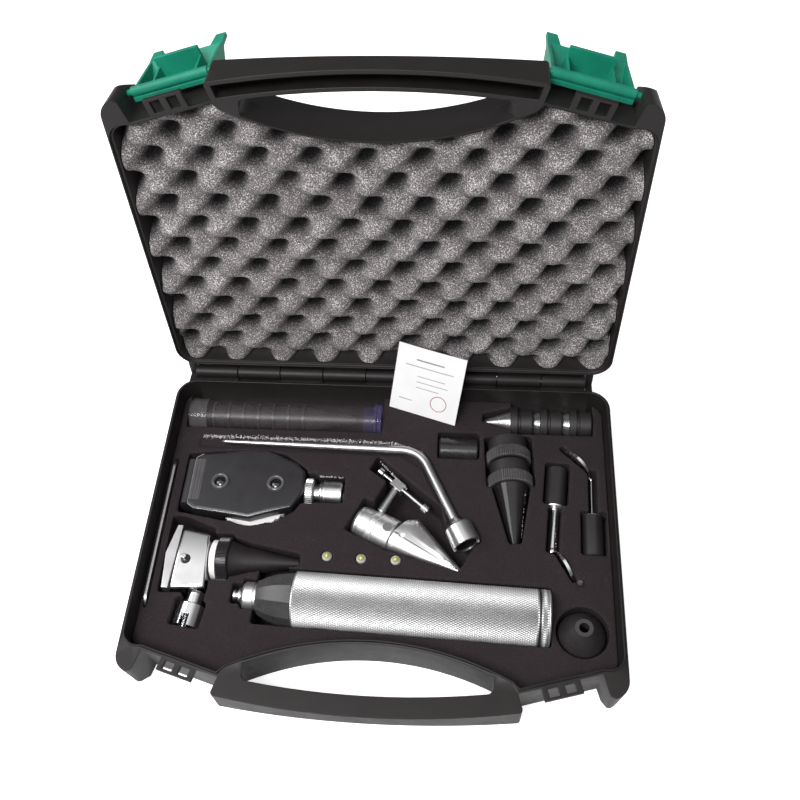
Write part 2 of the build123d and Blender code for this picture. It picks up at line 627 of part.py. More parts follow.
def arm_pockets():
    """Shallow groove under the rod and a pocket under its socket."""
    head = lay(ARM_HEAD[0], ARM_HEAD[1], 0, arm_heading())
    back = math.dist(ARM_HEAD, ARM_ELBOW)
    groove = pocket([(-back, ARM_RADIUS), (-2, ARM_RADIUS)])
    mouth = pocket([(-4.0, 4.2), (0, 4.2), (0, SOCKET_RADIUS), (SOCKET_LENGTH, SOCKET_RADIUS)])
    start, elbow = Vector(*ARM_TIP), Vector(*ARM_ELBOW)
    angle = math.degrees(math.atan2(elbow.Y - start.Y, elbow.X - start.X))
    run = pocket([(-GROOVE_LEAD, ARM_RADIUS), ((elbow - start).length + 1, ARM_RADIUS)])
    reach = ARM_BEND - 1.0
    back_along = elbow + (start - elbow).normalized() * reach
    down_along = elbow + (Vector(*ARM_HEAD) - elbow).normalized() * reach
    corner = [(v.X, v.Y) for v in (elbow, back_along, down_along)]
    inside_bend = prism(corner, (-ARM_RADIUS - REST_GAP, ABOVE))
    cuts = [head * cut for cut in groove + mouth]
    cuts += [lay(start.X, start.Y, 0, angle) * cut for cut in run]
    return cuts + [inside_bend]


OPHTHALMOSCOPE_Z = 17.5
OPHTHALMOSCOPE_HALF = 9.2
WHEEL_CENTRE = (-74.0, 27.0)
WHEEL_RADIUS = 22.4
WHEEL_THICK = 3.6
WHEEL_SCALLOPS = 36
WHEEL_AXLE = 3.0
BODY_OUTLINE = [(-110.2, 14.5), (-106.0, 11.6), (-88.0, 9.6), (-74.0, 7.6), (-61.0, 12.0), (-50.5, 15.0),
                (-45.0, 25.0), (-45.0, 38.0), (-50.0, 43.0), (-60.0, 47.6), (-68.0, 50.4), (-84.0, 50.4),
                (-106.0, 47.4), (-110.2, 44.5)]
COUPLING_Y = 28.3
COUPLING_RADIUS = 8.7
COUPLING_END = 21.5         # socket mouth, from the head's end
WINDOWS = [(-93.0, 29.2), (-61.0, 29.2)]


def ophthalmoscope_body():
    """Black head with a slot for the lens wheel and two windows."""
    shape = prism(BODY_OUTLINE, (-OPHTHALMOSCOPE_HALF, OPHTHALMOSCOPE_HALF))
    shape = chamfer(shape.faces().sort_by(Axis.Z)[-1].edges(), 1.2)
    slot = WHEEL_THICK / 2 + 0.4
    shape -= Pos(*WHEEL_CENTRE, 0) * Cylinder(WHEEL_RADIUS + 0.5, 2 * slot)
    shape -= Pos(*WHEEL_CENTRE, 0) * Cylinder(WHEEL_AXLE, 2 * slot + 8)
    for x, y in WINDOWS:
        shape -= Pos(x, y, OPHTHALMOSCOPE_HALF - 1.0) * Cylinder(3.6, 2.4)
    return shape


def lens_wheel():
    """Scalloped dioptre wheel."""
    wheel = Pos(*WHEEL_CENTRE, 0) * Cylinder(WHEEL_RADIUS, WHEEL_THICK)
    notch_radius = 1.5
    for index in range(WHEEL_SCALLOPS):
        turn = 2 * math.pi * index / WHEEL_SCALLOPS
        reach = WHEEL_RADIUS + notch_radius * 0.55
        x, y = WHEEL_CENTRE[0] + reach * math.cos(turn), WHEEL_CENTRE[1] + reach * math.sin(turn)
        wheel -= Pos(x, y, 0) * Cylinder(notch_radius, WHEEL_THICK + 1)
    return wheel - Pos(*WHEEL_CENTRE, 0) * Cylinder(WHEEL_AXLE + RUNNING_FIT, WHEEL_THICK + 2)


def brow_rest():
    """Ribbed rubber brow rest on the head's end."""
    rest = block((-114.4, -110.3), (14.6, 44.4), (-OPHTHALMOSCOPE_HALF + 1, OPHTHALMOSCOPE_HALF - 1))
    for index in range(7):
        y = 17.0 + index * 4.15
        rest -= block((-115.0, -113.6), (y - 0.9, y + 0.9), (-10, 10))
    return rest


def ophthalmoscope_pieces():
    """Ophthalmoscope head, drawn at its mid-plane."""
    coupling = Pos(-45.0, COUPLING_Y, 0)
    small, bore = COUPLING_RADIUS - 0.7, SOCKET_RADIUS - SOCKET_WALL
    ring = turned([(0.1, small), (0.9, COUPLING_RADIUS), (4.6, COUPLING_RADIUS), (5.4, small)])
    socket = turned([(5.5, 5.4), (9.5, 5.4), (9.5, 6.6), (10.6, SOCKET_RADIUS),
                     (COUPLING_END, SOCKET_RADIUS)])
    socket -= turned([(11.5, bore), (COUPLING_END + 1, bore)])
    socket -= side_slots(COUPLING_END, 5.5, 1.6)
    windows = [Pos(x, y, OPHTHALMOSCOPE_HALF - 1.5) * Cylinder(3.5, 1.2) for x, y in WINDOWS]
    axle_length = WHEEL_THICK + 0.8 + 7.6
    return {
        "ophthalmoscope_body": ophthalmoscope_body(),
        "brow_rest": brow_rest(),
        "lens_wheel": lens_wheel(),
        "lens_wheel_axle": Pos(*WHEEL_CENTRE, 0) * Cylinder(WHEEL_AXLE - 0.02, axle_length),
        "ophthalmoscope_windows": windows,
        "ophthalmoscope_ring": coupling * ring,
        "ophthalmoscope_socket": coupling * socket,
    }


def ophthalmoscope_pockets():
    """Pocket round the head, its wheel and its socket."""
    floor = -OPHTHALMOSCOPE_HALF - REST_GAP
    head = [(-115.2, 10.6), (-88.0, 6.0), (-60.0, 6.0), (-49.0, 13.5), (-44.2, 22.0), (-44.2, 40.0),
            (-58.0, 49.5), (-67.0, 51.4), (-85.0, 51.4), (-115.2, 48.0)]
    wheel = Pos(WHEEL_CENTRE[0], WHEEL_CENTRE[1], floor) * extrude(Circle(WHEEL_RADIUS + 0.8), ABOVE)
    coupling = pocket([(0, COUPLING_RADIUS), (5.6, COUPLING_RADIUS), (5.6, SOCKET_RADIUS),
                       (COUPLING_END + 0.5, SOCKET_RADIUS)])
    return [prism(head, (floor, ABOVE)), wheel] + [Pos(-45.0, COUPLING_Y, 0) * cut for cut in coupling]


OTOSCOPE_Z = 18.5
OTOSCOPE_HALF = 9.8
SPECULUM_Y = -15.6
SPECULUM_FACE = -91.6       # the body's face that the speculum's collar seats on
OTOSCOPE_OUTLINE = [(-108.2, -1.5), (-92.6, -4.0), (-91.2, -34.6), (-110.0, -36.0)]
HOLDER_OUTLINE = [(-108.5, 0.6), (-111.6, 0.6), (-115.4, -16.2), (-114.0, -36.2), (-110.42, -36.2)]
HOLDER_HALF = 9.0           # half height of the lens holder
HOLDER_PIVOT = 1.5          # down the body's end face from its back corner
HOLDER_SCREW = 1.25         # screw's radius
MAGNIFIER_AT = 23.5         # lens centre, down the same face
MAGNIFIER_RADIUS = 6.6
MAGNIFIER_THICK = 2.2
STEM_START = (-96.6, -35.4)
STEM_END = (-99.2, -55.0)
STEM_RADIUS = 4.6
STEM_SOCKET = 12.0          # length of the stem's socket
COLLAR_BORE = 7.0           # inside the insulator and the clamp ring
INSULATOR_RADIUS = 11.0
CLAMP_RADIUS = 12.7
CONE_RADIUS = 11.2
CONE_END = 48.6


def end_face(along):
    """Frame on the body's end face, X outward, at a distance down the face from its back corner."""
    top, bottom = Vector(*OTOSCOPE_OUTLINE[0]), Vector(*OTOSCOPE_OUTLINE[-1])
    down = (bottom - top).normalized()
    at = top + down * along
    return lay(at.X, at.Y, 0, math.degrees(math.atan2(down.X, -down.Y)) + 180.0)


def stem_place():
    """Frame on the stem, X from the body to the socket's mouth."""
    run = Vector(*STEM_END) - Vector(*STEM_START)
    return lay(*STEM_START, 0, math.degrees(math.atan2(run.Y, run.X)))


def otoscope_stem():
    """Stem with the bayonet socket at its end."""
    length = math.dist(STEM_START, STEM_END)
    mouth = length - STEM_SOCKET
    bore = SOCKET_RADIUS - SOCKET_WALL
    profile = [(0, STEM_RADIUS + 1), (1.2, STEM_RADIUS), (mouth - 1.5, STEM_RADIUS)]
    stem = turned(profile + [(mouth, SOCKET_RADIUS), (length, SOCKET_RADIUS)])
    stem -= turned([(mouth + 1.8, bore), (length + 1, bore)])
    return stem - side_slots(length, 6.0, 2.2)


def otoscope_pieces():
    """Otoscope head, drawn with the speculum axis at Z = 0."""
    body = prism(OTOSCOPE_OUTLINE, (-OTOSCOPE_HALF, OTOSCOPE_HALF))
    body = chamfer(body.faces().sort_by(Axis.Z)[-1].edges(), 1.0)
    body -= Pos(-103.0, -14.5, OTOSCOPE_HALF) * Cylinder(1.5, 3.0)
    pivot, lens_at = end_face(HOLDER_PIVOT), end_face(MAGNIFIER_AT) * Pos(2.7, 0, 0) * Rot(0, 90, 0)
    hole, bore = HOLDER_SCREW + PIECE_GAP, HOLDER_SCREW + RUNNING_FIT
    body -= pivot * turned([(-4.4, hole), (1.0, hole)])
    holder = prism(HOLDER_OUTLINE, (-HOLDER_HALF, HOLDER_HALF))
    holder -= lens_at * Cylinder(MAGNIFIER_RADIUS + PIECE_GAP, 12.0)
    holder -= pivot * turned([(-1.0, bore), (7.0, bore)])
    screw = turned([(-4.2, HOLDER_SCREW), (4.8, HOLDER_SCREW), (4.8, 2.2), (6.0, 2.2)])
    axis = Pos(SPECULUM_FACE, SPECULUM_Y, 0)
    insulator = turned([(0.7, INSULATOR_RADIUS - 0.6), (1.2, INSULATOR_RADIUS), (4.2, INSULATOR_RADIUS)])
    clamp = turned([(4.3, CLAMP_RADIUS - 0.7), (5.0, CLAMP_RADIUS), (10.4, CLAMP_RADIUS),
                    (11.2, CLAMP_RADIUS - 0.9)])
    cone = turned([(11.3, CONE_RADIUS), (13.4, CONE_RADIUS - 1), (20.0, 8.0), (CONE_END, 2.5)])
    cone -= turned([(11.0, 9.6), (20.5, 6.9), (CONE_END + 0.4, 1.8)])
    passage = turned([(0, COLLAR_BORE), (12, COLLAR_BORE)])
    return {
        "otoscope_body": body,
        "otoscope_stem": stem_place() * otoscope_stem() - body,
        "lens_holder": holder,
        "magnifier_lens": lens_at * Cylinder(MAGNIFIER_RADIUS, MAGNIFIER_THICK),
        "lens_holder_screw": pivot * screw,
        "otoscope_insulator": axis * (insulator - passage),
        "speculum_clamp_ring": axis * (clamp - passage),
        "ear_speculum": axis * cone,
    }


def otoscope_pockets():
    """Pocket round the otoscope head, with room for the lens holder to swing."""
    floor = -OTOSCOPE_HALF - REST_GAP
    head = [(-116.6, 7.5), (-109.0, 7.5), (-91.0, 1.0), (-90.0, -36.0), (-112.0, -37.4), (-116.6, -37.4)]
    length = math.dist(STEM_START, STEM_END)
    stem = pocket([(0, STEM_RADIUS + 1), (6, STEM_RADIUS + 1), (6, SOCKET_RADIUS), (length, SOCKET_RADIUS)])
    cone = pocket([(0, CLAMP_RADIUS), (11.2, CLAMP_RADIUS), (11.2, CONE_RADIUS), (20, 8.2), (CONE_END, 2.6)])
    cuts = [prism(head, (floor, ABOVE))] + [stem_place() * cut for cut in stem]
    return cuts + [Pos(SPECULUM_FACE, SPECULUM_Y, 0) * cut for cut in cone]


NASAL_PLACE = lay(-14.5, 13.6, 16.0, -26.0)
NASAL_RADIUS = 10.4
NASAL_BORE = 8.2
NASAL_BARREL = 24.0
NASAL_LENGTH = 65.0
PIVOT_U = 20.5
PIVOT_RADIUS = 1.4
BLADE_START = NASAL_BARREL + 0.4
BLADE_WALL = 1.0
BLADE_SPLIT = 0.25          # half the gap between the two blades
BLADE_OPENING = 10.0        # degrees that the upper blade swings
BLADE_TABS = {-1: (6.2, 5.0, 7.0), 1: (7.4, 2.2, 7.4)}  # outer height, reach in and beyond the barrel
TAB_THICK = 1.0
SCREW_START = (-3.2, 31.6)
SCREW_END = (33.8, 22.2)
SCREW_Z = 4.0
SCREW_RADIUS = 1.25
SCREW_BLOCK_U = 15.0        # block's station along the screw
SCREW_BLOCK_HALF = 4.0


def half_section(u, reach, height, side):
    """Half-ellipse across a blade at station u, bulging toward side * Y."""
    keep = Pos(side * (reach / 2 + BLADE_SPLIT), 0) * Rectangle(reach, 3 * height)
    return across(u) * (Ellipse(reach, height) & keep).face()


def blade(stations, side):
    """Hollow half-cone blade lofted through (u, reach, height) stations, with its two pivot tabs."""
    outer = loft([half_section(u, reach, height, side) for u, reach, height in stations], ruled=True)
    inner = [across(u) * Ellipse(reach - BLADE_WALL, height - BLADE_WALL) for u, reach, height in stations]
    shape = outer - loft([section.face() for section in inner], ruled=True)
    back_cut = NASAL_RADIUS * 2 * math.tan(math.radians(BLADE_OPENING + 1))
    if side > 0:
        far = NASAL_RADIUS * 2
        wedge = [(0, 0), (BLADE_START, 0), (BLADE_START + back_cut, far), (0, far)]
        shape -= prism(wedge, (-NASAL_RADIUS, NASAL_RADIUS))
    height, reach_in, reach_out = BLADE_TABS[side]
    for level in (-1, 1):
        heights = sorted((level * (height - TAB_THICK), level * height))
        inside = sorted((side * BLADE_SPLIT, side * reach_in))
        beyond = sorted((side * BLADE_SPLIT, side * reach_out))
        tab = block((PIVOT_U, BLADE_START + 3.0), inside, heights)
        tab += block((BLADE_START + 1.2, BLADE_START + 3.0), beyond, heights)
        tab += Pos(PIVOT_U, 0, level * (height - TAB_THICK / 2)) * Cylinder(3.0, TAB_THICK)
        shape += tab - Pos(PIVOT_U, 0, 0) * Cylinder(PIVOT_RADIUS + RUNNING_FIT, 4 * NASAL_RADIUS)
    return shape


def screw_frame():
    """Frame on the opening screw, X from its head to its tip."""
    turn = math.degrees(math.atan2(SCREW_END[1] - SCREW_START[1], SCREW_END[0] - SCREW_START[0]))
    return lay(*SCREW_START, SCREW_Z, turn)


def nasal_pieces():
    """Nasal speculum: barrel, two blades on one pivot, post and opening screw."""
    rim, waist = NASAL_RADIUS - 0.7, NASAL_RADIUS - 1.2
    profile = [(0, rim - 0.7), (0.8, rim), (9.6, rim), (9.6, waist), (10.4, waist), (10.4, NASAL_RADIUS)]
    profile += [(13.4, NASAL_RADIUS), (13.4, rim), (14.2, rim), (14.2, NASAL_RADIUS),
                (NASAL_BARREL, NASAL_RADIUS)]
    barrel = turned(profile) - turned([(2.0, NASAL_BORE), (NASAL_BARREL + 1, NASAL_BORE)])
    barrel -= Pos(PIVOT_U, 0, 0) * Cylinder(PIVOT_RADIUS + PIECE_GAP, 4 * NASAL_RADIUS)
    lower = blade([(BLADE_START, 9.6, 9.4), (38.0, 7.2, 6.4), (NASAL_LENGTH, 1.7, 1.9)], -1)
    upper = blade([(BLADE_START, 12.6, 9.4), (31.0, 16.6, 8.0), (NASAL_LENGTH, 1.7, 1.9)], 1)
    pin_low, pin_high = -NASAL_RADIUS + 0.2, NASAL_RADIUS + 0.9
    pivot = Pos(PIVOT_U, 0, pin_low) * extrude(Circle(PIVOT_RADIUS), pin_high - pin_low)
    pivot += Pos(PIVOT_U, 0, NASAL_RADIUS + 0.4) * extrude(Circle(2.4), 1.0)
    length = math.dist(SCREW_START, SCREW_END)
    screw = turned([(0, 2.2), (0.5, 2.8), (3.5, 2.8), (4.0, SCREW_RADIUS), (length, SCREW_RADIUS)])
    nut_bore = SCREW_RADIUS + 0.05
    nut = tube_along_x(length - 4.0, length - 0.5, 2.6, nut_bore)
    near, far = SCREW_BLOCK_U - SCREW_BLOCK_HALF, SCREW_BLOCK_U + SCREW_BLOCK_HALF
    screw_hole = SCREW_RADIUS + RUNNING_FIT
    holder = block((near, far), (-2.6, 2.6), (-2.6, 2.6)) - turned([(0, screw_hole), (length, screw_hole)])
    at = screw_frame() * Pos(SCREW_BLOCK_U, -2.4, 0)
    post_length = at.position.Y - NASAL_RADIUS + 1.6
    post_place = Location((at.position.X, NASAL_RADIUS - 1.6, SCREW_Z), (0, 0, 90))
    post = post_place * turned([(0, 2.4), (post_length, 2.0)])
    post -= turned([(0, NASAL_RADIUS + 0.05), (30, NASAL_RADIUS + 0.05)])
    return {
        "nasal_barrel": barrel,
        "nasal_lower_blade": lower,
        "nasal_upper_blade": upper,
        "blade_pivot": pivot,
        "spreader_post": screw_frame() * holder + post,
        "spreader_screw": screw_frame() * screw,
        "spreader_nut": screw_frame() * nut,
    }


def nasal_pockets():
    """Pocket under the nasal speculum, wide enough for its blade to open."""
    body = pocket([(0, NASAL_RADIUS), (NASAL_BARREL + 2, NASAL_RADIUS), (NASAL_LENGTH, 2.4)])
    floor = -NASAL_RADIUS - REST_GAP
    swing = [(5.0, 0), (5.0, 26.0), (-7.5, 28.0), (-7.5, 38.0), (40.0, 26.5), (46.0, 19.0), (66.5, 14.0),
             (66.5, 0)]
    return body + [prism(swing, (floor, ABOVE))]


BULB_CASE_PLACE = lay(30.2, 59.8, 18.0)
ADAPTER_PLACE = lay(69.6, 66.0, 19.0, -86.5)
NEST_PLACE = lay(118.0, 79.8, 18.0, 180.0)
MIRROR_A_PLACE = lay(115.6, -4.5, 17.0, 88.5)
MIRROR_B_PLACE = lay(97.8, 49.6, 17.0, -94.6)
GRIP_RADIUS = 6.2
GRIP_LENGTH = 24.6
BALL_RADIUS = 1.7
CUP_PLACE = lay(107.3, -48.2, 8.0)
TONGUE_BLADE_X = -121.6


def bulb_case():
    """Small ribbed capsule for a spare lamp."""
    shell = turned([(0, 7.2), (0.8, 7.9), (6.0, 7.9), (6.0, 7.4), (21.6, 7.4), (22.4, 6.6)])
    return shell - turned([(1.5, 5.8), (20.5, 5.8)])


def large_speculum(cone_radius, cone_end):
    """Knurled-collar speculum, open at the mouth: mouth at X = 0, tip along +X."""
    collar = [(0, 11.0), (0.6, 11.4), (8.0, 11.4)]
    knurl = [(8.0, 12.4), (8.6, 12.9), (14.4, 12.9), (15.0, 12.4)]
    outer = turned(collar + knurl + [(15.0, cone_radius), (cone_end, 2.5)])
    inner = turned([(-1, 9.9), (13.6, 9.9), (13.6, cone_radius - 1.2), (cone_end + 1, 1.5)])
    return outer - inner


def nested_speculum():
    """Collar, flange and cone of one small speculum: mouth at X = 0."""
    outer = turned([(0, 8.4), (7.0, 8.4), (7.0, 9.9), (11.4, 9.9), (11.4, 7.0), (28.0, 1.8)])
    inner = turned([(-1, 7.3), (11.0, 7.3), (11.6, 6.0), (29.0, 0.9)])
    return outer - inner


def ball_radius(rod_radius):
    """Radius of the ball joint between a mirror's rod and its disc."""
    return max(rod_radius + 0.3, BALL_RADIUS)


def laryngeal_mirror(rod_end, rod_radius, disc_radius, disc_turn):
    """Laryngeal mirror stored on edge: rubber grip at X = 0, rod, ball joint and framed disc."""
    grip = turned([(0, GRIP_RADIUS - 0.6), (0.6, GRIP_RADIUS), (GRIP_LENGTH - 0.6, GRIP_RADIUS),
                   (GRIP_LENGTH, GRIP_RADIUS - 0.6)])
    bore = rod_radius + PIECE_GAP
    grip -= turned([(GRIP_LENGTH - 12, bore), (GRIP_LENGTH + 1, bore)])
    rod = turned([(GRIP_LENGTH - 11.8, rod_radius), (rod_end, rod_radius)])
    rod += Pos(rod_end, 0, 0) * Rot(0, 90, 0) * Sphere(ball_radius(rod_radius))
    disc = Pos(disc_radius + 0.8, 0, 0) * Rot(90, 0, 0) * Cylinder(disc_radius, 1.6)
    rod += Pos(rod_end, 0, 0) * Rot(0, 0, disc_turn) * disc
    return grip, rod


def mirror_pockets(rod_end, rod_radius, disc_radius, disc_turn):
    """Pocket for the grip, a groove for the rod and a slit for the disc."""
    cuts = pocket([(0, GRIP_RADIUS), (GRIP_LENGTH, GRIP_RADIUS)])
    ball = ball_radius(rod_radius)
    cuts += pocket([(GRIP_LENGTH, ball), (rod_end + ball, ball)])
    slit = block((-0.5, 2 * disc_radius + 1.6), (-1.6, 1.6), (-disc_radius - REST_GAP, ABOVE))
    return cuts + [Pos(rod_end, 0, 0) * Rot(0, 0, disc_turn) * slit]


MIRROR_A = (48.5, 1.1, 11.3, 47.0)
MIRROR_B = (51.0, 2.6, 10.6, 34.0)


def rubber_cup():
    """Domed rubber cup with a hole in its crown."""
    outer = spun([(12.0, 0), (12.7, 0.8), (12.7, 9.0), (11.8, 12.5), (9.4, 16.5), (6.6, 20.5), (4.6, 23.0)])
    return outer - spun([(9.8, -1), (9.8, 8.0), (2.6, 17.0), (2.6, 24.0)])


def tongue_blade():
    """Thin metal tongue blade standing on edge in a slit."""
    plate = block((-0.6, 0.6), (-45.5, 43.8), (10.0, FOAM_TOP + 2.0))
    return fillet(plate.edges().filter_by(Axis.X), 6.0)


LAMP_SPOTS = [(-27.7, -12.7), (-9.0, -13.2), (9.6, -13.2)]
LAMP_Z = FOAM_TOP - 7.4
LAMP_RADIUS = 2.75
BULB_SPOT = (107.2, -21.8)


def spare_lamps():
    """Three spare lamps standing in the foam."""
    lamp = spun([(LAMP_RADIUS, 0), (LAMP_RADIUS, 6.4), (2.35, 7.8), (1.4, 8.8), (0.4, 9.1)])
    return [Pos(x, y, LAMP_Z) * lamp for x, y in LAMP_SPOTS]


def miniature_bulb():
    """Small loose bulb in a dimple of the foam."""
    bulb = spun([(1.0, 0), (1.6, 0.8), (1.6, 2.2), (0.9, 3.2)])
    return Pos(*BULB_SPOT, FOAM_TOP - 1.0) * bulb


CARD_SIZE = (41.0, 43.0)
CARD_THICK = 0.35
CARD_CORNER = (-0.5, 85.0)
CARD_HEADING = -17.4
CARD_LEAN = 61.0


def leaning_card():
    """Blank card standing on the foam and leaning back on the lid."""
    sheet = block((0, CARD_SIZE[0]), (0, CARD_SIZE[1]), (-CARD_THICK, 0))
    return lay(*CARD_CORNER, FOAM_TOP + REST_GAP, CARD_HEADING) * Rot(CARD_LEAN, 0, 0) * sheet


# ================================================================ foam
def pockets():
    """Every pocket cut into the base foam, in the case's own frame."""
    cuts = [HANDLE_PLACE * cut for cut in handle_pocket()]
    tube_end = SPECULA_TUBE_LENGTH + TUBE_PLUG_LENGTH
    tube = pocket([(0, TUBE_CAP_RADIUS), (tube_end, TUBE_CAP_RADIUS)])
    tube.append(open_to_wall(0, tube_end, TUBE_CAP_RADIUS, 1))
    cuts += [SPECULA_TUBE_PLACE * cut for cut in tube]
    cuts += [Pos(0, 0, ARM_HEIGHT) * cut for cut in arm_pockets()]
    cuts += [Pos(0, 0, OPHTHALMOSCOPE_Z) * cut for cut in ophthalmoscope_pockets()]
    cuts += [Pos(0, 0, OTOSCOPE_Z) * cut for cut in otoscope_pockets()]
    cuts += [NASAL_PLACE * cut for cut in nasal_pockets()]
    cuts += [BULB_CASE_PLACE * cut for cut in pocket([(0, 7.9), (22.4, 7.9)])]
    cuts += [ADAPTER_PLACE * cut for cut in pocket([(0, 12.9), (31.0, 12.9), (31.0, 10.4), (66.0, 2.7)])]
    nest = pocket([(0, 9.9), (45.6, 9.9), (45.6, 7.0), (62.4, 2.0)]) + [open_to_wall(0, 45.6, 9.9, -1)]
    cuts += [NEST_PLACE * cut for cut in nest]
    cuts += [MIRROR_A_PLACE * cut for cut in mirror_pockets(*MIRROR_A)]
    cuts += [MIRROR_B_PLACE * cut for cut in mirror_pockets(*MIRROR_B)]
    cuts.append(CUP_PLACE * Pos(0, 0, -REST_GAP) * extrude(Circle(12.7 + POCKET_CLEARANCE), ABOVE))
    cuts.append(block((TONGUE_BLADE_X - 1.0, TONGUE_BLADE_X + 1.0), (-46.5, 44.8), (9.7, ABOVE)))
    for x, y in LAMP_SPOTS:
        cuts.append(Pos(x, y, LAMP_Z - REST_GAP) * extrude(Circle(LAMP_RADIUS + 0.35), ABOVE))
    cuts.append(Pos(*BULB_SPOT, FOAM_TOP - 1.0 - REST_GAP) * extrude(Circle(2.0), ABOVE))
    return cuts


def base_foam():
    """Die-cut foam block with a pocket for each instrument."""
    foam = drafted(cavity_plan(FOAM_GAP), FOAM_TOP - BASE_DEPTH, FOAM_BOTTOM - BASE_DEPTH)
    foam = Pos(0, 0, BASE_DEPTH) * foam
    return foam - pockets()


def base_pad():
    """Uncut pad under the die-cut foam."""
    top = -BASE_DEPTH + WALL + PAD_THICK
    return Pos(0, 0, BASE_DEPTH) * drafted(cavity_plan(FOAM_GAP), top, top - PAD_THICK)


def lid_foam():
    """Envelope of the egg-crate foam glued into the lid."""
    foam = drafted(cavity_plan(FOAM_GAP), -LID_FOAM_START, -LID_DEPTH + WALL + 0.1)
    foam = Pos(0, 0, BASE_DEPTH + RIM_GAP) * mirror(foam, about=Plane.XY)
    return lid_in_place(foam)


# ================================================================ assembly
def build():
    """All pieces by node name."""
    nodes = {
        "base_shell": base_shell(),
        "lid_shell": lid_shell(),
        "hinge_pin": hinge_pin(),
        "latch_left": latch(-1),
        "latch_right": latch(1),
        "base_foam": base_foam(),
        "base_pad": base_pad(),
        "lid_foam": lid_foam(),
    }
    placed = [(HANDLE_PLACE, handle_pieces()), (SPECULA_TUBE_PLACE, specula_tube_pieces()),
              (Pos(0, 0, ARM_HEIGHT), arm_pieces()), (Pos(0, 0, OPHTHALMOSCOPE_Z), ophthalmoscope_pieces()),
              (Pos(0, 0, OTOSCOPE_Z), otoscope_pieces()), (NASAL_PLACE, nasal_pieces())]
    for place, pieces in placed:
        for name, shape in pieces.items():
            many = isinstance(shape, list)
            nodes[name] = Compound(children=[place * one for one in shape]) if many else place * shape
    nodes["bulb_case"] = BULB_CASE_PLACE * bulb_case()
    nodes["large_speculum_upper"] = ADAPTER_PLACE * large_speculum(9.0, 50.0)
    nodes["large_speculum_lower"] = ADAPTER_PLACE * Pos(15.9, 0, 0) * large_speculum(10.2, 49.6)
    nest = [NEST_PLACE * Pos(17.0 * index, 0, 0) * nested_speculum() for index in range(3)]
    nodes["nested_specula"] = Compound(children=nest)
    mirrors = [("mirror_a", MIRROR_A_PLACE, MIRROR_A), ("mirror_b", MIRROR_B_PLACE, MIRROR_B)]
    for name, place, sizes in mirrors:
        grip, rod = laryngeal_mirror(*sizes)
        nodes[name + "_grip"] = place * grip
        nodes[name + "_disc"] = place * rod
    nodes["rubber_cup"] = CUP_PLACE * rubber_cup()
    nodes["tongue_blade"] = Pos(TONGUE_BLADE_X, 0, 0) * tongue_blade()
    nodes["spare_lamps"] = Compound(children=spare_lamps())
    nodes["miniature_bulb"] = miniature_bulb()
    nodes["card"] = leaning_card()
    return nodes


os.makedirs("parts", exist_ok=True)
for node, shape in build().items():
    export_step(shape, f"parts/{node}.step")
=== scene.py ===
import json
import math

import bmesh
import bpy
import numpy as np
from mathutils import Matrix, Vector, noise

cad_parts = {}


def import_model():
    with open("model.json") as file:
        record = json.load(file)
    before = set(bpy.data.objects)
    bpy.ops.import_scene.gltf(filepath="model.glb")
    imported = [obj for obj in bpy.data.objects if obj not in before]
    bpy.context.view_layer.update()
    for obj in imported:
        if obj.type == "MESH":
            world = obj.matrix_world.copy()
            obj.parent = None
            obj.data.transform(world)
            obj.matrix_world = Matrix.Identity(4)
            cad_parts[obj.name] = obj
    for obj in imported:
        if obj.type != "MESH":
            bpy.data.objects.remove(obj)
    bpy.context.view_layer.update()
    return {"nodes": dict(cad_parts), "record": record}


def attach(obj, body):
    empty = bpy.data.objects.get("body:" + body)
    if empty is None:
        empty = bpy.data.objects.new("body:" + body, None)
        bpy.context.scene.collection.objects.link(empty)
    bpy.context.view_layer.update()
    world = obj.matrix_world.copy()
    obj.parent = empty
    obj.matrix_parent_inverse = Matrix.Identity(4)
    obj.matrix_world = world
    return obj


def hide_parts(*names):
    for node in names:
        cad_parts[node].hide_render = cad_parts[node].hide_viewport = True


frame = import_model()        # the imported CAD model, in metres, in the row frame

MM = 0.001
IDLE = Matrix.Identity(4)

# ======================== sizes and places as in the CAD model, in mm
HINGE = Vector((0.0, 100.0, 34.0))
LID_OPEN = 96.0
FOAM_TOP = 24.5
TUBE_START, TUBE_END, CAP_START, CAP_END = 33.2, 161.2, 162.1, 167.1
TUBE_RADIUS, TUBE_BORE, CAP_BORE = 15.25, 13.6, 13.0
KNURL_COUNT, KNURL_PITCH, KNURL_DEPTH = 72, 2.3, 0.45


def lay(x, y, z, angle=0.0):
    """Frame whose X axis points along angle in plan, in mm."""
    return Matrix.Translation((x, y, z)) @ Matrix.Rotation(math.radians(angle), 4, "Z")


HANDLE = lay(-75.9, -36.0, 20.3, -1.7)
SPECULA_TUBE = lay(-120.0, 78.3, 18.0)
OPHTHALMOSCOPE_RING = lay(-45.0, 28.3, 17.5)
OTOSCOPE_NOSE = lay(-91.6, -15.6, 18.5)
NASAL = lay(-14.5, 13.6, 16.0, -26.0)
ADAPTERS = lay(69.6, 66.0, 19.0, -86.5)
NEST = lay(118.0, 79.8, 18.0, 180.0)
MIRROR_A = lay(115.6, -4.5, 17.0, 88.5)
MIRROR_B = lay(97.8, 49.6, 17.0, -94.6)
UPRIGHT = Matrix.Rotation(math.radians(-90), 4, "Y")


# ======================== materials
def wiring(tree):
    """Functions that add a node to a shader tree and link two sockets."""
    def add(kind, **settings):
        node = tree.nodes.new("ShaderNode" + kind)
        for key, value in settings.items():
            if key in node.inputs:
                node.inputs[key].default_value = value
            else:
                setattr(node, key, value)
        return node

    return add, tree.links.new


def nodes_of(name):
    """New node material: (material, add function, link function, principled node)."""
    material = bpy.data.materials.new(name)
    material.use_nodes = True
    return material, *wiring(material.node_tree), material.node_tree.nodes["Principled BSDF"]


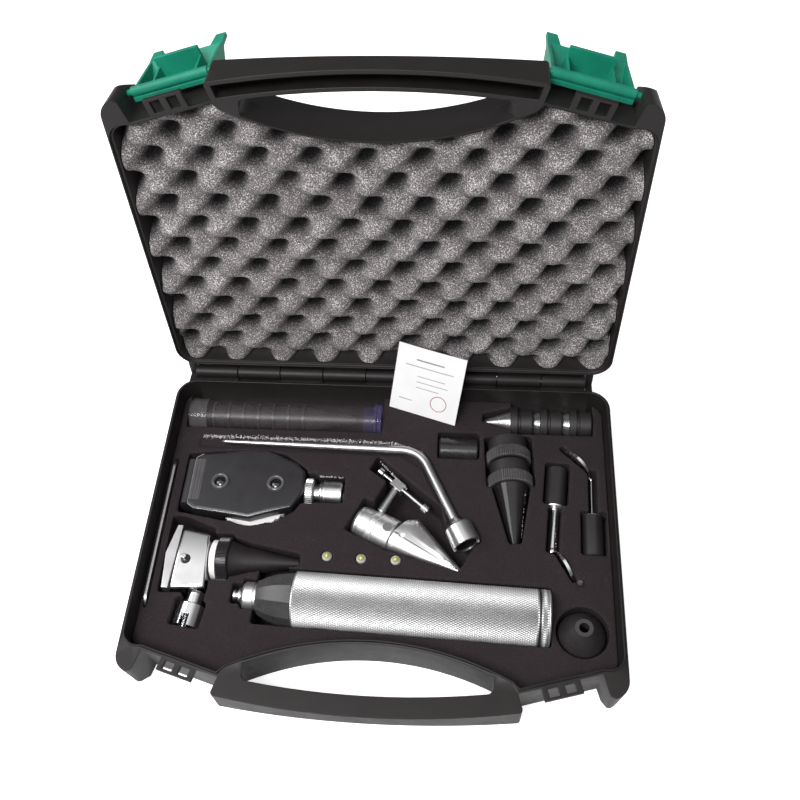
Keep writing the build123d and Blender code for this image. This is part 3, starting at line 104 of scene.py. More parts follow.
def constants(node, values):
    """Values set directly on a node's own sockets."""
    for key, value in values.items():
        node.inputs[key].default_value = value


def ramp(add, stops):
    """Colour ramp node through (position, colour) stops."""
    node = add("ValToRGB")
    elements = node.color_ramp.elements
    while len(elements) < len(stops):
        elements.new(0.5)
    for element, (position, color) in zip(elements, stops):
        element.position = position
        element.color = (*color, 1.0)
    return node


def grained(add, link, size, **settings):
    """Noise texture in object space, its features about that size in mm."""
    texture = add("TexNoise", Scale=1 / (size * MM), **settings)
    link(add("TexCoord").outputs["Object"], texture.inputs["Vector"])
    return texture.outputs["Fac"]


def bumped(add, link, height, depth, under=None):
    """Bump of that depth in mm from a height socket, on top of another bump."""
    bump = add("Bump", Strength=1.0, Distance=depth * MM)
    link(height, bump.inputs["Height"])
    if under:
        link(under, bump.inputs["Normal"])
    return bump.outputs["Normal"]


def scaled_sum(add, link, value, factor, other):
    """value * factor + other, where value and other are sockets."""
    node = add("Math", operation="MULTIPLY_ADD")
    link(value, node.inputs[0])
    node.inputs[1].default_value = factor
    link(other, node.inputs[2])
    return node.outputs[0]


def shade(color, factor):
    """Colour scaled and held within 0 to 1."""
    return tuple(min(1.0, c * factor) for c in color)


def painted_shade(add, link, tint, attribute, stops):
    """Painted shade: colour multiplied by a grey ramp over a point attribute."""
    depth = add("Attribute", attribute_name=attribute)
    fade = ramp(add, [(position, (grey, grey, grey)) for position, grey in stops])
    link(depth.outputs["Fac"], fade.inputs["Fac"])
    product = add("Mix", data_type="RGBA", blend_type="MULTIPLY")
    product.inputs["Factor"].default_value = 1.0
    link(tint, product.inputs["A"])
    link(fade.outputs["Color"], product.inputs["B"])
    return product.outputs["Result"]


def finish(name, color, rough, metallic=0.0, grain=0.6, depth=0.02, vary=0.12, rough_vary=0.08,
           patch=14.0, turning=0.0, coat=0.0, specular=0.5, groove_shade=None):
    """Procedural finish: grain of that size in mm with that bump depth in mm, and larger patches of wear.

    turning adds fine lathe lines across the "along" attribute that the turned pieces carry, and the groove
    setting paints shade into the knurl hollows that a point attribute marks, darkening them by that factor."""
    material, add, link, principled = nodes_of(name)
    cells = grained(add, link, patch, Detail=5.0, Roughness=0.6)
    tone = ramp(add, [(0.3, shade(color, 1 - vary)), (0.5, color), (0.72, shade(color, 1 + vary))])
    link(cells, tone.inputs["Fac"])
    tint = tone.outputs["Color"]
    if groove_shade is not None:
        # painted shade: the knurl's hollows darker by that factor
        tint = painted_shade(add, link, tint, "groove_shade", [(0.1, 1.0), (0.95, groove_shade)])
    link(tint, principled.inputs["Base Color"])
    fine = grained(add, link, grain, Detail=3.0, Roughness=0.55)
    spread = add("MapRange", **{"From Min": 0.7, "From Max": 1.3,
                                "To Min": rough - rough_vary, "To Max": rough + rough_vary})
    link(scaled_sum(add, link, cells, 1.0, fine), spread.inputs["Value"])
    link(spread.outputs["Result"], principled.inputs["Roughness"])
    normal = bumped(add, link, fine, depth)
    if turning:
        lines = add("TexNoise", noise_dimensions="1D", Scale=6.0, Detail=2.0)
        link(add("Attribute", attribute_name="along").outputs["Fac"], lines.inputs["W"])
        normal = bumped(add, link, lines.outputs["Fac"], turning, normal)
    link(normal, principled.inputs["Normal"])
    constants(principled, {"Metallic": metallic, "Coat Weight": coat, "Coat Roughness": 0.08,
                           "Specular IOR Level": specular})
    return material


def foam_finish(name, dark, pale_and_glint, cell, speck, speck_amount, pit_shade=0.0):
    """Open-cell foam: fine dark cells with pale cell walls, more of them where the "rim" attribute is high;
    the pale specks are partly painted glints of the light.

    The pit setting paints shade into the hollows: it darkens the surface by a point attribute from 0 on the
    crests to 1 in the hollows."""
    material, add, link, principled = nodes_of(name)
    cells = add("TexVoronoi", Scale=1 / (cell * MM), feature="F1")
    link(add("TexCoord").outputs["Object"], cells.inputs["Vector"])
    web = grained(add, link, speck, Detail=4.0, Roughness=0.75)
    cloud = grained(add, link, 11.0, Detail=3.0)
    rim = add("Attribute", attribute_name="rim").outputs["Fac"]
    level = scaled_sum(add, link, cloud, 0.16, scaled_sum(add, link, rim, 0.13, web))
    start = 0.74 - speck_amount
    # the pale stops are partly the cell walls' own colour and partly painted glints, brightest at the top
    # stop
    tone = ramp(add, [(0.34, dark), (start - 0.04, shade(dark, 1.7)), (start, pale_and_glint),
                      (start + 0.12, shade(pale_and_glint, 1.8))])
    link(level, tone.inputs["Fac"])
    color = tone.outputs["Color"]
    # painted shade: darker down the egg-crate pits, where the shade falls
    if pit_shade:
        color = painted_shade(add, link, color, "pit_shade", [(0.0, 1.0), (0.34, 0.8), (0.58, 0.3), (0.78, pit_shade)])
    link(color, principled.inputs["Base Color"])
    cell_bump = bumped(add, link, cells.outputs["Distance"], 0.28)
    link(bumped(add, link, web, 0.3, cell_bump), principled.inputs["Normal"])
    constants(principled, {"Roughness": 0.92, "Specular IOR Level": 0.25})
    return material


def clear_finish(name, color, alpha, rough=0.06):
    """Smoked clear plastic that shows what is in it, with faint flow marks."""
    material, add, link, principled = nodes_of(name)
    flow = grained(add, link, 9.0, Detail=2.0)
    tone = ramp(add, [(0.3, shade(color, 0.8)), (0.7, shade(color, 1.25))])
    link(flow, tone.inputs["Fac"])
    link(tone.outputs["Color"], principled.inputs["Base Color"])
    link(bumped(add, link, flow, 0.05), principled.inputs["Normal"])
    constants(principled, {"Alpha": alpha, "Specular IOR Level": 0.4, "Roughness": rough})
    return material


def lamp_finish(name):
    """Lamp lens: pale clear rim, a dark ring, and a yellow-green middle, by distance from its tip."""
    material, add, link, principled = nodes_of(name)
    swirl = grained(add, link, 0.8, Detail=2.0)
    along = add("Attribute", attribute_name="along").outputs["Fac"]
    span = add("MapRange", **{"From Min": 0.2, "From Max": 4.2})
    link(scaled_sum(add, link, swirl, 0.9, along), span.inputs["Value"])
    tone = ramp(add, [(0.1, (0.62, 0.6, 0.12)), (0.38, (0.3, 0.3, 0.07)), (0.55, (0.34, 0.34, 0.22)),
                      (0.72, (0.74, 0.74, 0.66)), (0.95, (0.3, 0.3, 0.27))])
    link(span.outputs["Result"], tone.inputs["Fac"])
    link(tone.outputs["Color"], principled.inputs["Base Color"])
    link(bumped(add, link, swirl, 0.12), principled.inputs["Normal"])
    constants(principled, {"Roughness": 0.12, "Coat Weight": 0.6})
    return material


FINISHES = {
    "case_plastic": finish("case_plastic_look", (0.0155, 0.0128, 0.0127), 0.46, grain=0.35,
                           depth=0.012, specular=0.3),
    "latch_plastic": finish("latch_plastic_look", (0.009, 0.22, 0.14), 0.42, grain=1.6, vary=0.2,
                            specular=0.32),
    "pin_steel": finish("pin_steel_look", (0.3, 0.3, 0.31), 0.36, 1.0, grain=0.4, depth=0.004),
    "chrome": finish("chrome_look", (0.86, 0.86, 0.87), 0.13, 1.0, grain=2.4, depth=0.004, vary=0.04,
                     rough_vary=0.05),
    "satin_metal": finish("satin_metal_look", (0.68, 0.68, 0.69), 0.31, 1.0, grain=0.25, depth=0.008,
                          vary=0.06, turning=0.01),
    # painted shade in the knurl hollows
    "knurled_metal": finish("knurled_metal_look", (0.94, 0.94, 0.95), 0.53, 1.0, grain=0.5, depth=0.006,
                            vary=0.05, groove_shade=0.34),
    "dark_plastic": finish("dark_plastic_look", (0.02, 0.0175, 0.0195), 0.24, grain=2.0, depth=0.004,
                           vary=0.2, turning=0.004),
    "head_plastic": finish("head_plastic_look", (0.019, 0.0175, 0.0205), 0.34, grain=0.45, depth=0.012),
    "grip_rubber": finish("grip_rubber_look", (0.021, 0.0185, 0.02), 0.36, grain=0.5, depth=0.015, vary=0.2),
    "clear_plastic": clear_finish("clear_plastic_look", (0.07, 0.06, 0.066), 0.24, 0.3),
    "white_plastic": finish("white_plastic_look", (0.93, 0.92, 0.9), 0.34, grain=1.2, depth=0.006,
                            vary=0.04),
    "optical_glass": finish("optical_glass_look", (0.018, 0.02, 0.026), 0.07, grain=4.0, depth=0.001,
                            coat=0.6),
    "lamp_glass": lamp_finish("lamp_glass_look"),
    "cell_metal": finish("cell_metal_look", (0.12, 0.13, 0.14), 0.35, 0.4, grain=0.8),
    "brass": finish("brass_look", (0.6, 0.59, 0.57), 0.26, 1.0, grain=0.5, depth=0.006, turning=0.006),
    "card_stock": finish("card_stock_look", (0.86, 0.855, 0.86), 0.62, grain=0.35, depth=0.012, vary=0.03),
}
BASE_FOAM_LOOK = foam_finish("base_foam_look", (0.0172, 0.0128, 0.0148), (0.05, 0.044, 0.047), 0.8, 0.55, 0.0)
# the lid foam's lighter tone and pale specks are partly its own colour and partly painted sheen and glints on
# its cells; its pits get painted shade
LID_FOAM_LOOK = foam_finish("lid_foam_look", (0.088, 0.079, 0.079), (0.54, 0.515, 0.515), 1.1, 0.62, 0.092,
                            pit_shade=0.06)
SATIN_BRIGHT = finish("satin_bright_look", (0.96, 0.96, 0.97), 0.4, 1.0, grain=0.3, depth=0.006, vary=0.05,
                      turning=0.006)
GREY_EDGE = finish("neck_look", (0.055, 0.053, 0.055), 0.27, grain=0.5, depth=0.012, vary=0.25)
WINDOW_DARK = finish("window_look", (0.006, 0.006, 0.008), 0.06, grain=3.0, depth=0.001, coat=1.0)
# painted highlight: pale grey for the bead on the head's lit edges
HIGHLIGHT_BEAD = finish("highlight_bead_look", (0.32, 0.31, 0.32), 0.3, 0.7, grain=1.0, depth=0.004)
CUP_RUBBER = finish("cup_rubber_look", (0.034, 0.03, 0.031), 0.3, grain=0.8, depth=0.01, vary=0.25,
                    specular=0.6)
ARM_SATIN = finish("arm_satin_look", (0.56, 0.55, 0.56), 0.36, 1.0, grain=0.3, depth=0.006, vary=0.08)
BEZEL = finish("bezel_look", (0.085, 0.08, 0.084), 0.2, grain=1.5, depth=0.003)
RING_GREY = finish("ring_grey_look", (0.1, 0.095, 0.096), 0.32, 0.3, grain=0.6, depth=0.008, vary=0.2)
BARREL_DULL = finish("barrel_dull_look", (0.021, 0.0185, 0.02), 0.46, grain=0.6, depth=0.01, vary=0.2)
CONE_GLOSS = finish("cone_gloss_look", (0.42, 0.41, 0.42), 0.2, 0.85, grain=1.6, depth=0.02, vary=0.3)
CONE_DARK = finish("cone_dark_look", (0.012, 0.0105, 0.0115), 0.13, grain=3.0, depth=0.002, vary=0.2)
SPECULUM_DULL = finish("speculum_dull_look", (0.0165, 0.013, 0.0148), 0.48, grain=1.4, depth=0.004, vary=0.2,
                       specular=0.35)
CLEAR_RIM = clear_finish("clear_rim_look", (0.16, 0.15, 0.158), 0.24, 0.06)
VIOLET_RIM = clear_finish("violet_rim_look", (0.12, 0.1, 0.24), 0.36, 0.06)
NEST_GREY = finish("nest_grey_look", (0.075, 0.067, 0.072), 0.25, grain=1.0, depth=0.006, vary=0.2)
CRUMBS = finish("crumbs_look", (0.5, 0.48, 0.48), 0.8, grain=0.2, depth=0.05, vary=0.5, patch=2.0)
INK = finish("ink_look", (0.28, 0.27, 0.28), 0.7, grain=0.3, depth=0.004, vary=0.3)
RED_INK = finish("red_ink_look", (0.42, 0.06, 0.07), 0.7, grain=0.3, depth=0.004, vary=0.3)


# ======================== mesh helpers
def settle(obj, body, slot, stands_for=(), look=None, sharp=38.0):
    """Shading, finish, and the body and CAD nodes that a new piece belongs to."""
    mesh = obj.data
    mesh.materials.clear()
    mesh.materials.append(look or FINISHES[slot])
    mesh.polygons.foreach_set("use_smooth", [True] * len(mesh.polygons))
    mesh.set_sharp_from_angle(angle=math.radians(sharp))
    weighted = obj.modifiers.new("even_normals", "WEIGHTED_NORMAL")
    weighted.keep_sharp = True
    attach(obj, body)
    if stands_for:
        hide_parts(*stands_for)
    return obj


def new_object(name, data):
    """Object for a mesh, a lamp or a camera, linked to the scene."""
    obj = bpy.data.objects.new(name, data)
    bpy.context.scene.collection.objects.link(obj)
    return obj


def point_values(mesh, attribute, values):
    """Point attribute with one value for each vertex."""
    mesh.attributes.new(attribute, "FLOAT", "POINT").data.foreach_set("value", values)


def from_points(name, points, faces, place=IDLE, along=None):
    """Object from points in mm under a placement, welded unless it carries the "along" attribute."""
    mesh = bpy.data.meshes.new(name)
    mesh.from_pydata([place @ Vector(p) * MM for p in points], [], faces)
    if along:
        point_values(mesh, "along", along)
    bm = bmesh.new()
    bm.from_mesh(mesh)
    if not along:
        bmesh.ops.remove_doubles(bm, verts=bm.verts, dist=1e-7)
    bmesh.ops.recalc_face_normals(bm, faces=bm.faces)
    bm.to_mesh(mesh)
    bm.free()
    return new_object(name, mesh)


def band(low, high):
    """Faces between two closed rings of point numbers."""
    count = len(low)
    return [(low[k], low[(k + 1) % count], high[(k + 1) % count], high[k]) for k in range(count)]


def sleeve(count, rings, closed=False):
    """Faces along a row of rings of count points: capped at both ends, or run back to the first ring."""
    loops = [range(k * count, (k + 1) * count) for k in range(rings)]
    ends = band(loops[-1], loops[0]) if closed else [tuple(loops[0]), tuple(loops[-1])]
    return [face for low, high in zip(loops, loops[1:]) for face in band(low, high)] + ends


def grid(columns, rows, base=0, back=False):
    """Faces over a grid of points that are numbered up each column; the back faces the other way."""
    turns = (0, 3, 2, 1) if back else (0, 1, 2, 3)
    starts = [base + i * rows + j for i in range(columns - 1) for j in range(rows - 1)]
    return [tuple((a, a + rows, a + rows + 1, a + 1)[k] for k in turns) for a in starts]


def border_of(columns, rows):
    """Point numbers round the edge of such a grid."""
    border = [i * rows for i in range(columns)] + [(columns - 1) * rows + j for j in range(1, rows)]
    return border + [i * rows + rows - 1 for i in range(columns - 2, -1, -1)] + list(range(rows - 2, 0, -1))


def softened_profile(profile, radius, closed):
    """Profile with its corners rounded by short arcs."""
    points = [Vector(p) for p in profile]
    count, out = len(points), []
    for index, point in enumerate(points):
        if not closed and index in (0, count - 1):
            out.append(tuple(point))
            continue
        before, after = points[index - 1] - point, points[(index + 1) % count] - point
        if before.length < 1e-6 or after.length < 1e-6:
            continue
        turn = math.pi - before.angle(after)
        if turn < 0.3:
            out.append(tuple(point))
            continue
        trim = min(radius * math.tan(turn / 2), 0.45 * before.length, 0.45 * after.length)
        start, end = point + before.normalized() * trim, point + after.normalized() * trim
        for share in (0.0, 0.33, 0.67, 1.0):
            side = start.lerp(point, share), point.lerp(end, share)
            out.append(tuple(side[0].lerp(side[1], share)))
    return out


def lathe(name, profile, place, body, slot, stands_for=(), look=None, sides=96, closed=False, radius=0.18,
          ripple=None):
    """Turned piece about the local X axis from an (x, radius) profile in mm, its corners rounded.

    ripple(x, turn, r) may move a point in or out, for ribs and knurls."""
    rounded = softened_profile(profile, radius, closed)
    points, rings, along = [], [], []
    travelled, last = 0.0, Vector(rounded[0])
    for x, r in rounded:
        travelled += (Vector((x, r)) - last).length
        last = Vector((x, r))
        if r < 1e-4:
            rings.append([len(points)])
            points.append((x, 0.0, 0.0))
            along.append(travelled)
            continue
        ring = []
        for side in range(sides):
            turn = 2 * math.pi * side / sides
            reach = r + (ripple(x, turn, r) if ripple else 0.0)
            ring.append(len(points))
            points.append((x, reach * math.cos(turn), reach * math.sin(turn)))
            along.append(travelled)
        rings.append(ring)
    pairs = list(zip(rings, rings[1:])) + ([(rings[-1], rings[0])] if closed else [])
    faces = []
    for low, high in pairs:
        tip, base = (low, high) if len(low) == 1 else (high, low)
        if len(tip) > 1:
            faces += band(low, high)
        elif len(base) > 1:
            faces += [(tip[0], base[side], base[(side + 1) % sides]) for side in range(sides)]
    return settle(from_points(name, points, faces, place, along), body, slot, stands_for, look)


def solid(profile):
    """Profile closed on the axis at both ends."""
    return [(profile[0][0], 0.0)] + list(profile) + [(profile[-1][0], 0.0)]


def ribs(count, depth, start, end, least):
    """Straight knurl of count ribs between two stations, where the radius is at least so much."""
    def ripple(x, turn, r):
        if not start <= x <= end or r < least:
            return 0.0
        wave = (turn * count / (2 * math.pi)) % 1.0
        return -depth * (1.0 if wave > 0.62 else 0.0)
    return ripple


def knurled_tube(name, start, end, bore, stands_for):
    """Tube with a true diamond knurl: every second lattice point is a peak, and the grooves run straight."""
    radius, depth = TUBE_RADIUS, KNURL_DEPTH
    columns, rows = 2 * KNURL_COUNT, 2 * round((end - start - 0.8) / KNURL_PITCH)
    first, last = start + 0.4, end - 0.4
    points, faces = [], []
    for row in range(rows + 1):
        x = first + (last - first) * row / rows
        for column in range(columns):
            turn = 2 * math.pi * column / columns
            peak = (row + column) % 2
            reach = radius - (0.0 if peak else depth)
            points.append((x, reach * math.cos(turn), reach * math.sin(turn)))
    for row in range(rows):
        for column in range(columns):
            following = (column + 1) % columns
            a, b = row * columns + column, row * columns + following
            c, d = a + columns, b + columns
            if (row + column) % 2:
                faces += [(a, b, c), (b, d, c)]
            else:
                faces += [(a, b, d), (a, d, c)]
    starts = [0]
    for x, reach in ((start, radius - depth), (start, bore), (end, bore), (end, radius - depth)):
        starts.append(len(points))
        for column in range(columns):
            turn = 2 * math.pi * column / columns
            points.append((x, reach * math.cos(turn), reach * math.sin(turn)))
    loops = [range(k, k + columns) for k in starts + [rows * columns]]
    for low, high in zip(loops, loops[1:]):
        faces += band(low, high)
    obj = from_points(name, points, faces, HANDLE)
    # how far each point sits down in the knurl, for the painted shade in its hollows
    along_handle = [HANDLE.inverted() @ (v.co / MM) for v in obj.data.vertices]
    sunk = [(radius - math.hypot(p.y, p.z)) / depth for p in along_handle]
    point_values(obj.data, "groove_shade", [min(1.0, max(0.0, value)) for value in sunk])
    settle(obj, "battery_handle", "knurled_metal", stands_for, sharp=60.0)


def cad_copy(node, width, body, slot, look=None, angle=32.0, sharp=38.0):
    """Copy of a CAD node with its edges broken by that width in mm, where they turn by more than angle."""
    bm = bmesh.new()
    bm.from_mesh(frame["nodes"][node].data)
    bmesh.ops.remove_doubles(bm, verts=bm.verts, dist=2e-6)
    bmesh.ops.dissolve_limit(bm, angle_limit=math.radians(0.7), verts=bm.verts, edges=bm.edges)
    edges = [e for e in bm.edges if len(e.link_faces) == 2 and e.calc_face_angle(0.0) > math.radians(angle)]
    if node in ("base_shell", "lid_shell"):
        edges = [e for e in edges if e.is_convex]       # a bevel in a corner would fold the large flat faces
    bmesh.ops.bevel(bm, geom=edges, offset=width * MM, segments=2, profile=0.6, affect="EDGES",
                    clamp_overlap=False, offset_type="OFFSET")
    bmesh.ops.triangulate(bm, faces=[f for f in bm.faces if len(f.verts) > 4])
    mesh = bpy.data.meshes.new(node + "_finished")
    bm.to_mesh(mesh)
    bm.free()
    return settle(new_object(node + "_finished", mesh), body, slot, (node,), look, sharp)


def keep(node, slot, look=None):
    """A CAD node whose shape is right gets its finish."""
    mesh = frame["nodes"][node].data
    for index in range(len(mesh.materials)):
        mesh.materials[index] = look or FINISHES[slot]


# ======================== case
SLOT_OF = {part["node"]: part["material_slot"] for part in frame["record"]["subparts"]}
BODY_OF = {}
for body_name, members in frame["record"]["behaviour"]["bodies"].items():
    for member in members:
        BODY_OF[member] = body_name
for node_name, node_slot in SLOT_OF.items():
    if node_slot in FINISHES:
        keep(node_name, node_slot)

BROKEN_EDGES = {
    "base_shell": 0.35, "lid_shell": 0.35, "latch_left": 0.3, "latch_right": 0.3,
    "ophthalmoscope_body": 0.9, "lens_wheel": 0.3, "lens_holder": 0.35, "spreader_post": 0.2,
    "arm_socket": 0.2, "otoscope_stem": 0.08,
}
for node_name, width in BROKEN_EDGES.items():
    own_look = ARM_SATIN if node_name == "lens_holder" else None
    cad_copy(node_name, width, BODY_OF[node_name], SLOT_OF[node_name], own_look)
keep("arm_rod", "chrome", ARM_SATIN)
keep("arm_lamp_tip", "lamp_glass", RING_GREY)
keep("tube_specula", "dark_plastic", NEST_GREY)
keep("miniature_bulb", "lamp_glass", RING_GREY)
keep("rubber_cup", "grip_rubber", CUP_RUBBER)
keep("tongue_blade", "chrome", ARM_SATIN)
for node_name in ("nasal_lower_blade", "nasal_upper_blade"):
    keep(node_name, "satin_metal", SATIN_BRIGHT)


# ======================== foam
def evaluated_copy(obj, name):
    """Mesh of an object with its modifiers applied; the object is then removed."""
    bpy.context.view_layer.update()
    graph = bpy.context.evaluated_depsgraph_get()
    mesh = bpy.data.meshes.new_from_object(obj.evaluated_get(graph))
    mesh.name = name
    bpy.data.objects.remove(obj)
    return mesh


def vectors(mesh, kind):
    """Vertex positions ("co") or normals ("normal") as an array."""
    flat = np.zeros(len(mesh.vertices) * 3)
    mesh.vertices.foreach_get(kind, flat)
    return flat.reshape(-1, 3)


def convexity(mesh):
    """How far each vertex stands out from its neighbours along its normal, in units of the edge length."""
    co, normal = vectors(mesh, "co"), vectors(mesh, "normal")
    edges = np.zeros(len(mesh.edges) * 2, int)
    mesh.edges.foreach_get("vertices", edges)
    edges = edges.reshape(-1, 2)
    total, count = np.zeros_like(co), np.zeros(len(co))
    for a, b in ((0, 1), (1, 0)):
        np.add.at(total, edges[:, a], co[edges[:, b]])
        np.add.at(count, edges[:, a], 1)
    mean = total / np.maximum(count, 1)[:, None]
    length = np.linalg.norm(co[edges[:, 0]] - co[edges[:, 1]], axis=1).mean()
    return np.einsum("ij,ij->i", co - mean, normal) / length


def cut_foam(node, voxel, share):
    """Foam block with the softened, slightly torn edges that a die leaves, from voxels of that size in mm."""
    raw = new_object(node + "_raw", frame["nodes"][node].data.copy())
    weld = raw.modifiers.new("weld", "WELD")
    weld.merge_threshold = 2e-6
    remesh = raw.modifiers.new("voxels", "REMESH")
    remesh.mode = "VOXEL"
    remesh.voxel_size = voxel * MM
    even = raw.modifiers.new("even", "SMOOTH")
    even.factor, even.iterations = 0.5, 2
    mesh = evaluated_copy(raw, node + "_cut")
    rim = np.clip(convexity(mesh) * 4.0 - 0.15, 0, 1)
    co, normal = vectors(mesh, "co"), vectors(mesh, "normal")
    tear = np.array([noise.noise(Vector(p) * 620.0) for p in co])
    co += normal * ((0.05 + 0.22 * rim) * tear * MM)[:, None]
    mesh.vertices.foreach_set("co", co.ravel())
    point_values(mesh, "rim", rim)
    obj = new_object(node + "_thin", mesh)
    thin = obj.modifiers.new("thin", "DECIMATE")
    thin.ratio = share
    mesh = evaluated_copy(obj, node + "_cut")
    obj = settle(new_object(node + "_cut", mesh), "case_base", "foam", (node,), BASE_FOAM_LOOK, sharp=180.0)


cut_foam("base_foam", 0.8, 0.45)
cut_foam("base_pad", 2.0, 0.6)


def shut(point):
    """Open-lid point as (x, v, d) in mm on the shut lid: v from the hinge forward, d from the rim in."""
    turned = Matrix.Rotation(math.radians(LID_OPEN), 4, "X") @ (Vector(point) / MM - HINGE)
    return turned.x, -turned.y, turned.z


def opened(x, v, d):
    """Open-lid position, in mm, of a shut-lid point."""
    turned = Matrix.Rotation(math.radians(-LID_OPEN), 4, "X") @ Vector((x, -v, d))
    return turned + HINGE


EGG_PITCH, EGG_ROWS = 26.3, 28.0      # mm between pits along a row, and between every second row
EGG_START, EGG_ROW_START = -99.6, 162.5
EGG_SKEW = 0.045
EGG_LEAN = 0.32                       # the pits are longer towards the upper right
EGG_DRIFT = 1.6                       # how far the pits wander from the lattice
EGG_CREST, EGG_DEPTH = 2.35, 13.5
EGG_COLUMNS, EGG_STEPS = 230, 160
LID_FOAM_BACK = 24.9
SAME_LEVEL = 0.02                     # mm


def side_limits(bm, level, shares):
    """Half width of the foam's outline at a level, and its lowest and highest v at shares of that width."""
    segments = []
    for edge in bm.edges:
        a, b = edge.verts[0].co, edge.verts[1].co
        flat = abs(a.z - level) < SAME_LEVEL and abs(b.z - level) < SAME_LEVEL
        if flat and edge.calc_face_angle(0.0) > 0.5:
            segments.append((a.x, a.y, b.x, b.y))
    x0, y0, x1, y1 = np.array(segments).T
    reach = np.abs((x0, x1)).max() - SAME_LEVEL
    lows, highs = [], []
    for x in shares * reach:
        hit = (np.minimum(x0, x1) <= x) & (np.maximum(x0, x1) >= x) & (np.abs(x1 - x0) > 1e-6)
        t = (x - x0[hit]) / (x1[hit] - x0[hit])
        v = y0[hit] + t * (y1[hit] - y0[hit])
        lows.append(v.min())
        highs.append(v.max())
    return reach, np.array(lows), np.array(highs)


def egg_depth(x, v):
    """Depth of the egg-crate surface at a place on the shut lid, and how far down a pit that is, 0 to 1."""
    wobble = noise.noise(Vector((x * 0.035, v * 0.035, 3.1)))
    drift = noise.noise(Vector((x * 0.03, v * 0.03, 9.7)))
    across = x - EGG_START - (EGG_ROW_START - v) * EGG_SKEW + EGG_DRIFT * wobble
    phase_x = 2 * math.pi * across / EGG_PITCH
    phase_v = 2 * math.pi * (v - EGG_ROW_START + EGG_DRIFT * drift) / EGG_ROWS
    phase_x -= EGG_LEAN * math.sin(2 * phase_v)
    egg = 0.5 + 0.5 * math.cos(phase_x) * math.cos(phase_v)
    sink = egg ** 1.7 * (1.0 + 0.14 * drift)
    grit = noise.noise(Vector((x * 0.9, v * 0.9, 0.4))) * 0.3
    grit += noise.noise(Vector((x * 2.6, v * 2.6, 5.0))) * 0.22
    d = EGG_CREST + EGG_DEPTH * min(1.15, sink) + grit * (0.6 + 0.4 * egg) + 0.35
    return min(LID_FOAM_BACK - 3.0, max(EGG_CREST, d)), min(1.0, sink)


def egg_foam():
    """Egg-crate foam in the lid: a lattice of pits and rounded crests, trimmed to the lid's inside."""
    bm = bmesh.new()
    bm.from_mesh(frame["nodes"]["lid_foam"].data)
    bmesh.ops.remove_doubles(bm, verts=bm.verts, dist=2e-6)
    for vert in bm.verts:
        vert.co = Vector(shut(vert.co))
    levels = sorted(v.co.z for v in bm.verts)
    low_level, high_level = levels[0], levels[-1]
    columns, rows = EGG_COLUMNS, EGG_STEPS
    shares = np.linspace(-1, 1, columns)
    reach0, low0, high0 = side_limits(bm, low_level, shares)
    reach1, low1, high1 = side_limits(bm, high_level, shares)
    bm.free()

    def place(i, j, d):
        f = min(1.0, max(0.0, (d - low_level) / (high_level - low_level)))
        x = shares[i] * (reach0 + f * (reach1 - reach0))
        low, high = low0[i] + f * (low1[i] - low0[i]), high0[i] + f * (high1[i] - high0[i])
        return x, low + (high - low) * j / (rows - 1)

    cells = [(i, j) for i in range(columns) for j in range(rows)]
    # how far down a pit each point sits, for the painted shade in the hollows
    points, pit_shades = [], []
    for i, j in cells:
        d, sink = egg_depth(*place(i, j, 8.0))
        points.append(opened(*place(i, j, d), d))
        pit_shades.append(sink)
    front = len(points)
    for i, j in cells:
        points.append(opened(*place(i, j, high_level), high_level - SAME_LEVEL))
        pit_shades.append(0.4)
    border = border_of(columns, rows)
    faces = grid(columns, rows) + band(border, [k + front for k in border]) + grid(columns, rows, front, True)
    mesh = bpy.data.meshes.new("lid_foam_eggcrate")
    mesh.from_pydata([p * MM for p in points], [], faces)
    point_values(mesh, "pit_shade", pit_shades)
    bm = bmesh.new()
    bm.from_mesh(mesh)
    bmesh.ops.recalc_face_normals(bm, faces=bm.faces)
    # the back is flat, so its inner edges go
    flat = [e for e in bm.edges if all(v.index >= front for v in e.verts) and not e.is_boundary]
    inner = [e for e in flat if all(len(f.verts) == 4 for f in e.link_faces)]
    inner = [e for e in inner if e.calc_face_angle(1.0) < 0.01]
    bmesh.ops.dissolve_edges(bm, edges=inner, use_verts=False)
    bm.to_mesh(mesh)
    bm.free()
    obj = new_object("lid_foam_eggcrate", mesh)
    settle(obj, "lid", "foam", ("lid_foam",), LID_FOAM_LOOK, sharp=70.0)


egg_foam()


# ======================== battery handle
lathe("handle_contact_turned",
      solid([(0, 3.1), (0.5, 3.6), (1.5, 3.6), (1.9, 3.0), (2.8, 3.0), (3.4, 4.9), (4.8, 4.9), (4.8, 3.0),
             (5.5, 3.0), (5.5, 1.8), (36.6, 1.8)]),
      HANDLE, "battery_handle", "brass", ("handle_contact",))
lathe("handle_collar_turned",
      [(5.6, 1.86), (5.6, 6.5), (6.8, 7.7), (11.6, 7.7), (11.6, 7.1), (13.2, 7.1), (13.2, 1.86)],
      HANDLE, "battery_handle", "chrome", ("handle_collar",), SATIN_BRIGHT, closed=True)
cad_copy("handle_switch_ring", 0.3, "switch_ring", "dark_plastic", GREY_EDGE, angle=20.0, sharp=30.0)
knurled_tube("handle_tube_knurled", TUBE_START + 0.05, TUBE_END, TUBE_BORE, ("handle_tube",))
knurled_tube("handle_cap_knurled", CAP_START, CAP_END - 1.0, CAP_BORE, ())
lathe("handle_cap_turned",
      solid([(155.2, 13.5), (162.1, 13.5), (162.1, 14.6), (166.0, 14.8), (166.4, 15.1), (167.1, 14.3)]),
      HANDLE, "battery_handle", "knurled_metal", ("handle_end_cap",))


